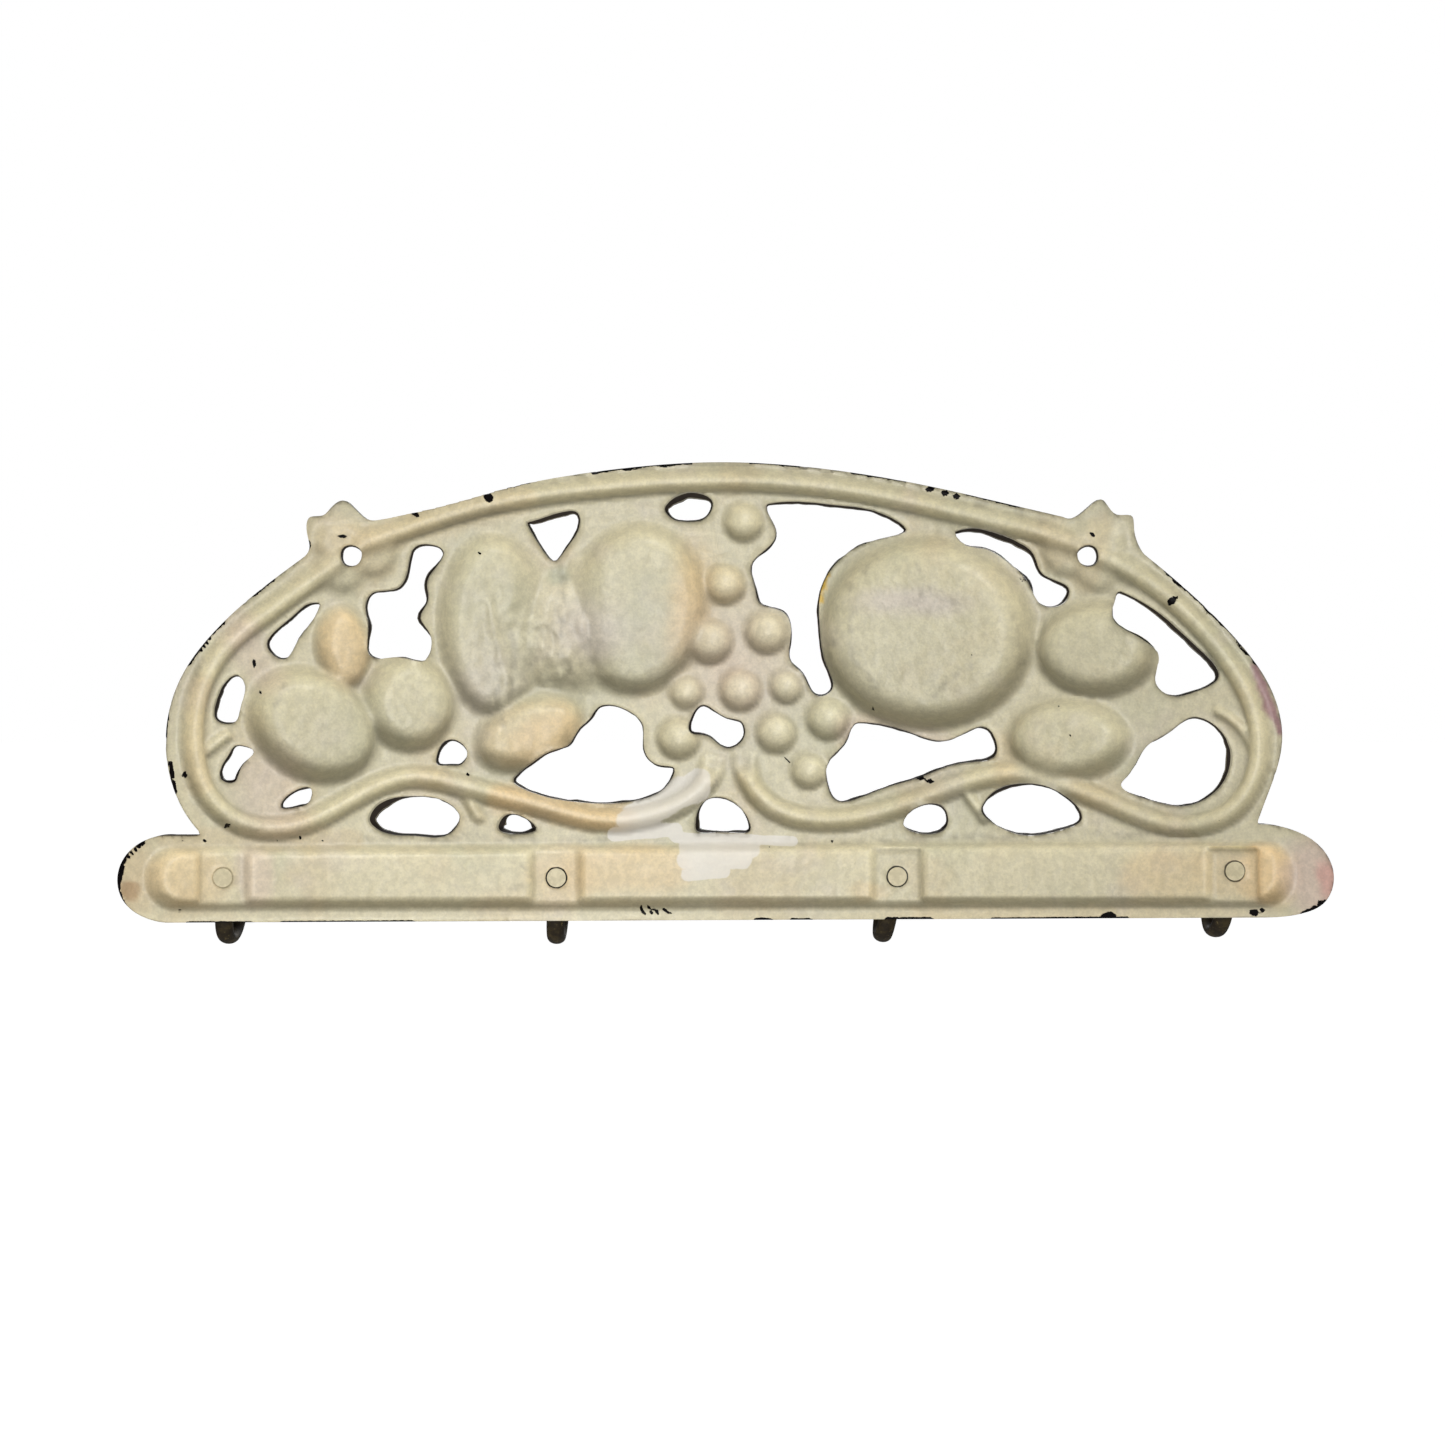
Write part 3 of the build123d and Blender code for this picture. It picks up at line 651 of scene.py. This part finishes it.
    def _edge_along(self, start: Vector, way: Vector) -> Vector:
        """Walk from start to the metal's edge, outward if start is metal and inward if not."""
        solid = self.depths.is_solid(start.x, start.y)
        sign = 1.0 if solid else -1.0
        stride = 0.15
        inner = 0.0
        for k in range(1, 12):
            there = start + way * (sign * stride * k)
            if self.depths.is_solid(there.x, there.y) != solid:
                inner = stride * (k - 1)
                break
        else:
            return start.copy()
        outer = inner + stride
        for _ in range(6):
            middle = (inner + outer) / 2
            there = start + way * (sign * middle)
            if self.depths.is_solid(there.x, there.y) == solid:
                inner = middle
            else:
                outer = middle
        return start + way * (sign * inner)

    # ---- mesh
    def _skin(self, back: Grid, front: Grid, rim_back: dict, rim_front: dict) -> bpy.types.Object:
        """Make the closed mesh: a back sheet, a front sheet and the walls between them."""
        d = self.depths
        rows, columns = self.keep.shape
        bm = bmesh.new()
        bmesh.ops.create_grid(bm, x_segments=rows, y_segments=columns, size=0.5)
        bmesh.ops.delete(
            bm,
            geom=[f for f in bm.faces if not self.keep[self._cell(f.calc_center_median())]],
            context="FACES",
        )
        shell = bm.verts.layers.float.new("shell")
        rim = bm.verts.layers.float.new("rim")
        grown = bmesh.ops.extrude_face_region(bm, geom=bm.faces[:])
        for v in grown["geom"]:
            if isinstance(v, bmesh.types.BMVert):
                v[shell] = Side.FRONT.value
        near_rim = {
            (i + a, j + b) for (i, j) in rim_back for a in (-1, 0, 1) for b in (-1, 0, 1)
        }
        walls = [e for e in bm.edges if e.verts[0][shell] != e.verts[1][shell]]
        for v in bm.verts:
            i = int(round((v.co.x + 0.5) * rows))
            j = int(round((v.co.y + 0.5) * columns))
            on_front = v[shell] > 0.5
            at_rim = (i, j) in rim_back
            place = (rim_front if on_front else rim_back).get((i, j))
            x, z = (place.x, place.y) if place else (d.x[2 * i], d.z[2 * j])
            inner = back[2 * i, 2 * j]
            if on_front:
                drop = 0.9 if at_rim else 0.22 if (i, j) in near_rim else 0.0
                depth = max(front[2 * i, 2 * j] - drop, inner + 1.3)
            else:
                depth = inner + (0.42 if at_rim else 0.04 if (i, j) in near_rim else 0.0)
            v[rim] = 1.0 if at_rim else 0.0
            v.co = Vector((x * MM, -depth * MM, z * MM))
        bmesh.ops.subdivide_edges(bm, edges=walls, cuts=self.wall_steps, use_grid_fill=True)
        bmesh.ops.recalc_face_normals(bm, faces=bm.faces[:])
        mesh = bpy.data.meshes.new("casting_skin")
        bm.to_mesh(mesh)
        bm.free()
        mesh.polygons.foreach_set("use_smooth", [True] * len(mesh.polygons))
        mesh.set_sharp_from_angle(angle=math.radians(62))
        piece = bpy.data.objects.new("casting_skin", mesh)
        bpy.context.scene.collection.objects.link(piece)
        LOG.info("casting skin: %d faces", len(mesh.polygons))
        return piece

    def _cell(self, centre: Vector) -> tuple[int, int]:
        """Give the coarse cell that a face of the flat grid covers."""
        rows, columns = self.keep.shape
        return int((centre.x + 0.5) * rows), int((centre.y + 0.5) * columns)

    # ---- paint
    def _record_paint(self, mesh: bpy.types.Mesh, hollow: Grid) -> None:
        """Store the coats of paint, with the back's painted shade and light, on the mesh's points, for
        the material to read.

        Args:
            mesh: The casting's skin.
            hollow: For each fine grid point, how far it lies below its surroundings, in mm, and
                how steeply it faces up.
        """
        count = len(mesh.vertices)
        co = np.zeros(count * 3)
        mesh.vertices.foreach_get("co", co)
        x, y, z = (co.reshape(-1, 3) / MM).T
        shell, rim = np.zeros(count), np.zeros(count)
        mesh.attributes["shell"].data.foreach_get("value", shell)
        mesh.attributes["rim"].data.foreach_get("value", rim)
        i, j = (
            np.clip(np.rint((v - ticks[0]) / Depths.FINE).astype(int), 0, len(ticks) - 1)
            for v, ticks in ((x, self.depths.x), (z, self.depths.z))
        )
        crease, ledge = (np.clip(layer[i, j], -0.6, 1.0) for layer in hollow)

        chip = np.zeros(count)
        for spot in CHIPS:
            chip = np.maximum(chip, 1 - 0.7 * spot.reach(x, z))
        for line in SCRATCHES:
            chip = np.maximum(chip, 1 - 0.5 * line.reach(x, z))
        smear = np.zeros(count)
        for stroke in SMEARS:
            smear = np.maximum(smear, 1 - 0.5 * stroke.reach(x, z))
        wall = np.clip(shell * 4, 0, 1) * (1 - step(0.75, 1.0, shell))

        self._store(mesh, "back_paint_and_shading", self._back_paint_and_shading(x, z, crease, ledge))
        self._store(mesh, "front_paint", self._front_paint(x, z, -y))
        self._store(mesh, "marks", np.column_stack([np.clip(chip, 0, 1), wall, np.clip(smear, 0, 1)]))
        self._store(mesh, "place", np.column_stack([shell, rim, np.zeros(count)]))

    @staticmethod
    def _store(mesh: bpy.types.Mesh, name: str, values: Grid) -> None:
        """Add a colour attribute from three values a point."""
        layer = mesh.attributes.new(name, "FLOAT_COLOR", "POINT")
        full = np.column_stack([values, np.ones(len(values))])
        layer.data.foreach_set("color", full.astype(np.float32).ravel())

    @staticmethod
    def _back_paint_and_shading(x: Grid, z: Grid, crease: Grid, ledge: Grid) -> Grid:
        """Mix the back's colour at each point, with painted shade and light from the relief."""
        coat = Coat(len(x), CREAM)
        lay = coat.lay
        warp_x, warp_z = x + 1.6 * Mottle(31, 7)(x, z), z + 1.6 * Mottle(32, 7)(x, z)

        lay(0.55 * step(-0.1, 0.6, Mottle(33, 26, 4)(x, z)), OLIVE)
        lay(0.35 * step(0.0, 0.6, Mottle(34, 17, 4)(x, z)), TAN)
        lay(0.22 * step(0.1, 0.6, Mottle(35, 12, 4)(x, z)), LILAC)
        for fruit in FRUIT:
            cover = 1 - step(0.75, 1.05, fruit.shape.reach(warp_x, warp_z))
            lay(0.32 * cover, fruit.back)
        for patch in PATCHES:
            reach = patch.shape.reach(warp_x, warp_z)
            lay(patch.strength * (1 - step(1 - patch.soft, 1 + patch.soft * 0.6, reach)), patch.colour)
        # A painted pool of light in each grape's cup, centred a little above its middle.
        for grape in GRAPES:
            lay(0.45 * (1 - step(0.35, 0.95, grape.reach(x, z - 0.6))), paint(232, 226, 198))
        grime = np.zeros_like(x)
        for line in HAIRLINES:
            grime = np.maximum(grime, 1 - step(0.6, 2.2, line.reach(warp_x, warp_z)))
        lay(0.30 * grime * step(-0.4, 0.3, Mottle(37, 2.0, 2)(x, z)), paint(120, 112, 96))
        # Painted shade and light from the relief: lighter where the back lies below its surroundings,
        # darker where it stands above them, darker on slopes that face up, a little lighter on slopes
        # that face down.
        shade = 1 + 0.16 * np.clip(crease, 0, 0.6) - 0.16 * np.clip(-crease, 0, 0.5)
        shade *= 1 - 0.34 * np.clip(ledge, 0, 1) + 0.05 * np.clip(-ledge, 0, 0.6)
        shade *= 1 + 0.028 * Mottle(36, 2.0, 3)(x, z)
        return np.clip(coat.colour * shade[:, None], 0, 1)

    @staticmethod
    def _front_paint(x: Grid, z: Grid, depth: Grid) -> Grid:
        """Mix the front's colour at each point."""
        coat = Coat(len(x), BLACK_BROWN)
        lay = coat.lay
        wobble_x, wobble_z = x + 0.6 * Mottle(41, 4)(x, z), z + 0.6 * Mottle(42, 4)(x, z)

        for fruit in FRUIT:
            reach = fruit.shape.reach(wobble_x, wobble_z) / 1.1
            u, v = fruit.shape.place(wobble_x, wobble_z)
            cover = 1 - step(0.97, 1.03, reach)
            lay(cover, fruit.colour)
            ripe = step(-0.2, 0.9, 0.7 * u + 0.6 * v + 0.3 * Mottle(43, 8)(x, z))
            lay(cover * ripe * 0.8, fruit.blush)
            if fruit.leaf:
                lay(cover * 0.7 * np.exp(-((u / 0.05) ** 2)), paint(150, 152, 84))
        for grape in GRAPES:
            reach = grape.reach(wobble_x, wobble_z) / 1.45
            lay(1 - step(0.9, 1.05, reach), paint(86, 52, 104))
            # A painted highlight on each grape, set above and to one side of its middle.
            lay(0.45 * (1 - step(0.1, 0.6, grape.reach(x + 1.6, z - 1.8) / 1.2)), paint(146, 104, 158))
        for rail in ROSE_RAILS:
            lay(0.55 * (1 - step(0.4, 1.2, rail.reach(wobble_x, wobble_z))), RAIL_ROSE)
        return coat.colour


# ---------------------------------------------------------------- materials
class Shader:
    """A short way to write a material's nodes."""

    def __init__(self, name: str) -> None:
        """Start an empty material with a shader and an output.

        Args:
            name: The material's name.
        """
        self.material = bpy.data.materials.new(name)
        self.material.use_nodes = True
        self.tree = self.material.node_tree
        self.tree.nodes.clear()
        self.output = self.tree.nodes.new("ShaderNodeOutputMaterial")
        self.surface = self.tree.nodes.new("ShaderNodeBsdfPrincipled")
        self.tree.links.new(self.surface.outputs["BSDF"], self.output.inputs["Surface"])
        self.coordinates = self.tree.nodes.new("ShaderNodeTexCoord").outputs["Object"]

    def _plug(self, socket: bpy.types.NodeSocket, value: object) -> None:
        if isinstance(value, bpy.types.NodeSocket):
            self.tree.links.new(value, socket)
        elif isinstance(value, tuple) and len(value) == 3 and socket.type == "RGBA":
            socket.default_value = (*value, 1.0)
        else:
            socket.default_value = value

    def set(self, **values: object) -> None:
        """Plug values or sockets into the surface, with names such as base_color."""
        for name, value in values.items():
            self._plug(self.surface.inputs[name.replace("_", " ").title().replace("Ior", "IOR")], value)

    def attribute(self, name: str) -> bpy.types.NodeSocket:
        """Read a colour stored on the piece's points."""
        node = self.tree.nodes.new("ShaderNodeAttribute")
        node.attribute_name = name
        return node.outputs["Color"]

    def split(self, colour: bpy.types.NodeSocket) -> tuple[bpy.types.NodeSocket, ...]:
        """Give a colour's three values."""
        node = self.tree.nodes.new("ShaderNodeSeparateColor")
        self._plug(node.inputs["Color"], colour)
        return tuple(node.outputs[k] for k in ("Red", "Green", "Blue"))

    def noise(self, scale: float, detail: float = 3.0, roughness: float = 0.55) -> bpy.types.NodeSocket:
        """Give smooth noise, 0 to 1."""
        node = self.tree.nodes.new("ShaderNodeTexNoise")
        self._plug(node.inputs["Vector"], self.coordinates)
        node.inputs["Scale"].default_value = scale
        node.inputs["Detail"].default_value = detail
        node.inputs["Roughness"].default_value = roughness
        return node.outputs["Fac"]

    def specks(self, scale: float) -> bpy.types.NodeSocket:
        """Give the distance to scattered points, 0 at each."""
        node = self.tree.nodes.new("ShaderNodeTexVoronoi")
        self._plug(node.inputs["Vector"], self.coordinates)
        node.inputs["Scale"].default_value = scale
        return node.outputs["Distance"]

    def math(self, operation: str, a: object, b: object = 0.0, c: object = 0.0) -> bpy.types.NodeSocket:
        """Combine two or three values."""
        node = self.tree.nodes.new("ShaderNodeMath")
        node.operation = operation
        for socket, value in zip(node.inputs, (a, b, c)):
            self._plug(socket, value)
        return node.outputs["Value"]

    def between(self, value: object, low: float, high: float) -> bpy.types.NodeSocket:
        """Rise smoothly from 0 at low to 1 at high."""
        node = self.tree.nodes.new("ShaderNodeMapRange")
        node.interpolation_type = "SMOOTHSTEP"
        self._plug(node.inputs["Value"], value)
        node.inputs["From Min"].default_value = low
        node.inputs["From Max"].default_value = high
        return node.outputs["Result"]

    def mix(self, cover: object, under: object, over: object) -> bpy.types.NodeSocket:
        """Lay one colour over another."""
        node = self.tree.nodes.new("ShaderNodeMix")
        node.data_type = "RGBA"
        self._plug(node.inputs["Factor"], cover)
        self._plug(node.inputs["A"] if node.inputs["A"].type == "RGBA" else node.inputs[6], under)
        self._plug(node.inputs["B"] if node.inputs["B"].type == "RGBA" else node.inputs[7], over)
        return node.outputs[2]

    def bump(self, height: object, distance: float, strength: float = 1.0) -> bpy.types.NodeSocket:
        """Turn a height into a surface normal."""
        node = self.tree.nodes.new("ShaderNodeBump")
        node.inputs["Strength"].default_value = strength
        node.inputs["Distance"].default_value = distance
        self._plug(node.inputs["Height"], height)
        return node.outputs["Normal"]

    def place(self) -> tuple[bpy.types.NodeSocket, ...]:
        """Give the point's X, Y and Z in the row frame, in metres."""
        node = self.tree.nodes.new("ShaderNodeSeparateXYZ")
        self._plug(node.inputs["Vector"], self.coordinates)
        return tuple(node.outputs[k] for k in ("X", "Y", "Z"))


@dataclass(frozen=True)
class CastingPaint:
    """Cream paint with painted shade and light on the back, colours on the front, black primer where it
    has gone.
    """

    name: str = "casting_paint"

    def material(self) -> bpy.types.Material:
        """Build the material.

        Returns:
            The finished material.
        """
        s = Shader(self.name)
        chip, wall, smear = s.split(s.attribute("marks"))
        shell, rim, _ = s.split(s.attribute("place"))
        grain, fine, broad = s.noise(420, 4), s.noise(1500, 2), s.noise(60, 3)
        patchy = s.noise(190, 3, 0.6)

        # Back cream coat with its painted shade and light, with grain and pinholes.
        back_paint_and_shading = s.attribute("back_paint_and_shading")
        tooth = s.math("ADD", s.math("MULTIPLY", grain, 0.6), s.math("MULTIPLY", fine, 0.4))
        toned = s.mix(
            s.between(tooth, 0.36, 0.66),
            self._scaled(s, back_paint_and_shading, 0.88), self._scaled(s, back_paint_and_shading, 1.06),
        )
        speck_size = s.math("MULTIPLY", s.between(broad, 0.55, 0.8), 0.09)
        specks = s.math("LESS_THAN", s.specks(190), speck_size)
        toned = s.mix(s.math("MULTIPLY", specks, 0.55), toned, BROWN)
        white = s.between(s.math("ADD", smear, s.math("MULTIPLY_ADD", patchy, 0.3, -0.15)), 0.46, 0.56)
        toned = s.mix(s.math("MULTIPLY", white, 0.74), toned, paint(236, 231, 222))

        # Front colours, with grain and patches of bare primer.
        front = s.attribute("front_paint")
        front = s.mix(
            s.between(grain, 0.3, 0.75),
            self._scaled(s, front, 0.78), self._scaled(s, front, 1.12),
        )
        on_front = s.between(shell, 0.8, 0.98)
        bare = s.between(s.math("ADD", broad, s.math("MULTIPLY", fine, 0.25)), 0.74, 0.78)
        front = s.mix(s.math("MULTIPLY", bare, 0.8), front, PRIMER)
        colour = s.mix(on_front, toned, front)

        # Window walls and chips show the black under the cream, and the back's rims are greyed.
        uneven = s.math("MULTIPLY_ADD", patchy, 0.5, -0.25)
        dark_wall = s.between(s.math("ADD", wall, uneven), 0.52, 0.74)
        colour = s.mix(dark_wall, colour, PRIMER)
        at_back = s.math("SUBTRACT", 1.0, on_front)
        # Greyed in a ragged band along the back's rims.
        ragged_rim = s.math("ADD", rim, s.math("MULTIPLY_ADD", broad, 0.9, -0.45))
        rim_grey = s.math("MULTIPLY", s.between(ragged_rim, 0.72, 0.98), 0.4)
        colour = s.mix(s.math("MULTIPLY", rim_grey, at_back), colour, paint(84, 76, 66))
        ragged_chip = s.math("MULTIPLY_ADD", s.noise(900, 3, 0.7), 0.5, -0.25)
        gone = s.between(s.math("ADD", chip, ragged_chip), 0.47, 0.53)
        gone = s.math("MULTIPLY", gone, at_back)
        colour = s.mix(gone, colour, SOOT)
        colour = self._rivet_rings(s, colour)

        rough = s.math(
            "MAXIMUM", s.math("MULTIPLY_ADD", patchy, 0.22, 0.27), s.math("MULTIPLY", dark_wall, 0.85)
        )
        shine = s.math("MULTIPLY_ADD", s.math("MAXIMUM", dark_wall, gone), -0.42, 0.5)
        height = s.math("ADD", s.math("MULTIPLY", grain, 0.6), s.math("MULTIPLY", s.noise(150, 2), 1.3))
        height = s.math("SUBTRACT", height, s.math("MULTIPLY", gone, 0.8))
        s.set(
            base_color=colour, roughness=rough, specular_ior_level=shine,
            normal=s.bump(height, 0.00045, 0.7),
        )
        return s.material

    @staticmethod
    def _scaled(s: Shader, colour: bpy.types.NodeSocket, by: float) -> bpy.types.NodeSocket:
        """Darken or lighten a colour."""
        node = s.tree.nodes.new("ShaderNodeVectorMath")
        node.operation = "SCALE"
        s.tree.links.new(colour, node.inputs[0])
        node.inputs["Scale"].default_value = by
        return node.outputs["Vector"]

    @staticmethod
    def _rivet_rings(s: Shader, colour: bpy.types.NodeSocket) -> bpy.types.NodeSocket:
        """Crack the paint in a ring around each rivet's tail."""
        x, y, z = s.place()
        ragged = s.noise(520, 2)
        behind = s.math("GREATER_THAN", y, -0.0045)
        for rx, rz, strength in RIVETS:
            dx, dz = s.math("SUBTRACT", x, rx * MM), s.math("SUBTRACT", z, rz * MM)
            away = s.math("SQRT", s.math("ADD", s.math("MULTIPLY", dx, dx), s.math("MULTIPLY", dz, dz)))
            away = s.math("ADD", away, s.math("MULTIPLY_ADD", ragged, 0.0005, -0.00025))
            off_ring = s.math("ABSOLUTE", s.math("SUBTRACT", away, 0.0027))
            ring = s.math("SUBTRACT", 1.0, s.between(off_ring, 0.0002, 0.00042))
            ring = s.math("MULTIPLY", s.math("MULTIPLY", ring, behind), strength)
            colour = s.mix(ring, colour, SOOT)
        return colour


@dataclass(frozen=True)
class HookPaint:
    """Black-brown paint on a small iron hook, rubbed to a dull olive in patches."""

    name: str = "hook_paint"

    def material(self) -> bpy.types.Material:
        """Build the material."""
        s = Shader(self.name)
        rub = s.between(s.noise(240, 4, 0.65), 0.42, 0.68)
        colour = s.mix(rub, paint(36, 29, 18), paint(64, 54, 32))
        colour = s.mix(s.between(s.noise(900, 3), 0.6, 0.72), colour, paint(84, 73, 46))
        s.set(
            base_color=colour, roughness=0.66, specular_ior_level=0.18,
            normal=s.bump(s.noise(500, 4), 0.0002, 0.6),
        )
        return s.material


@dataclass(frozen=True)
class RivetPaint:
    """Cream over the peened tail at the back, black-brown on the head at the front."""

    name: str = "rivet_paint"

    def material(self) -> bpy.types.Material:
        """Build the material."""
        s = Shader(self.name)
        _, y, _ = s.place()
        tail = s.between(y, -0.0029, -0.0024)
        grain = s.noise(700, 3)
        dark = s.mix(s.between(grain, 0.4, 0.7), paint(40, 33, 27), paint(86, 76, 60))
        cream = s.mix(s.between(grain, 0.35, 0.7), paint(206, 194, 158), paint(224, 212, 176))
        s.set(base_color=s.mix(tail, dark, cream), roughness=0.42, normal=s.bump(grain, 0.0002, 0.5))
        return s.material


# ---------------------------------------------------------------- hooks and rivets
@dataclass
class HookArm:
    """One swivelling hook with its rivet, both kept as packed and painted."""

    number: int
    nodes: dict
    hook_finish: bpy.types.Material
    rivet_finish: bpy.types.Material

    def dress(self) -> None:
        """Give both pieces their paint."""
        for kind, finish, slot in (
            ("hook", self.hook_finish, Slot.IRON), ("rivet", self.rivet_finish, Slot.RIVET),
        ):
            node = self.nodes[f"{kind}_{self.number}"]
            node.data.materials.clear()
            node.data.materials.append(finish)


# ---------------------------------------------------------------- studio
@dataclass(frozen=True)
class Lamp:
    """A soft square light aimed at the rack."""

    name: str
    place: tuple[float, float, float]
    size: float
    power: float
    aim: tuple[float, float, float] = (0.0, 0.0, -0.04)

    def build(self) -> None:
        """Hang the light."""
        data = bpy.data.lights.new(self.name, "AREA")
        data.size, data.energy = self.size, self.power
        lamp = bpy.data.objects.new(self.name, data)
        lamp.location = self.place
        toward = Vector(self.aim) - Vector(self.place)
        lamp.rotation_euler = toward.to_track_quat("-Z", "Y").to_euler()
        bpy.context.scene.collection.objects.link(lamp)


@dataclass
class Studio:
    """Pale floor, white surroundings, soft lights and the camera."""

    floor_z: float = -0.36
    lamps: tuple = (
        Lamp("key_below", (0.12, 0.42, -0.36), 0.20, 2.1),
        Lamp("face_on", (0.03, 0.90, 0.02), 0.25, 2.75),
        Lamp("room_side", (-0.25, -0.9, 0.4), 0.8, 6.5),
    )

    def build(self) -> None:
        """Set everything around the rack."""
        self._floor()
        self._world()
        for lamp in self.lamps:
            lamp.build()
        self._camera()
        bpy.context.scene.view_settings.view_transform = "Standard"

    def _floor(self) -> None:
        bm = bmesh.new()
        bmesh.ops.create_grid(bm, x_segments=1, y_segments=1, size=30.0)
        bmesh.ops.translate(bm, vec=(0, 0, self.floor_z), verts=bm.verts[:])
        mesh = bpy.data.meshes.new("floor")
        bm.to_mesh(mesh)
        bm.free()
        floor = bpy.data.objects.new("floor", mesh)
        bpy.context.scene.collection.objects.link(floor)
        s = Shader("floor_white")
        seen = s.tree.nodes.new("ShaderNodeLightPath").outputs["Is Camera Ray"]
        glow = s.math("MULTIPLY_ADD", seen, 0.85, 0.1)
        s.set(
            base_color=(0.6, 0.6, 0.6), roughness=0.9,
            emission_color=(1.0, 1.0, 1.0), emission_strength=glow,
        )
        mesh.materials.append(s.material)

    @staticmethod
    def _world() -> None:
        world = bpy.data.worlds.new("white_room")
        world.use_nodes = True
        tree = world.node_tree
        tree.nodes.clear()
        output = tree.nodes.new("ShaderNodeOutputWorld")
        seen, lit = tree.nodes.new("ShaderNodeBackground"), tree.nodes.new("ShaderNodeBackground")
        seen.inputs["Color"].default_value = (1, 1, 1, 1)
        lit.inputs["Color"].default_value = (1, 1, 1, 1)
        lit.inputs["Strength"].default_value = 0.12
        choice, path = tree.nodes.new("ShaderNodeMixShader"), tree.nodes.new("ShaderNodeLightPath")
        tree.links.new(path.outputs["Is Camera Ray"], choice.inputs["Fac"])
        tree.links.new(lit.outputs["Background"], choice.inputs[1])
        tree.links.new(seen.outputs["Background"], choice.inputs[2])
        tree.links.new(choice.outputs["Shader"], output.inputs["Surface"])
        bpy.context.scene.world = world

    @staticmethod
    def _camera() -> None:
        data = bpy.data.cameras.new("camera")
        data.lens, data.sensor_width = 50.0, 36.0
        data.clip_start, data.clip_end = 0.01, 60.0
        camera = bpy.data.objects.new("camera", data)
        camera.location = (-0.0008, 0.55, -0.0459)
        camera.rotation_euler = (math.radians(90), 0.0, math.radians(180))
        bpy.context.scene.collection.objects.link(camera)
        bpy.context.scene.camera = camera


def main() -> None:
    """Build the rack's looks and the studio around it."""
    logging.basicConfig(level=logging.INFO, format="%(name)s: %(message)s")
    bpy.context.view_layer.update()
    Casting(frame["nodes"]["casting"]).build()
    hook_finish, rivet_finish = HookPaint().material(), RivetPaint().material()
    for number in range(1, 5):
        HookArm(number, frame["nodes"], hook_finish, rivet_finish).dress()
    Studio().build()


if __name__ == "__main__":
    main()
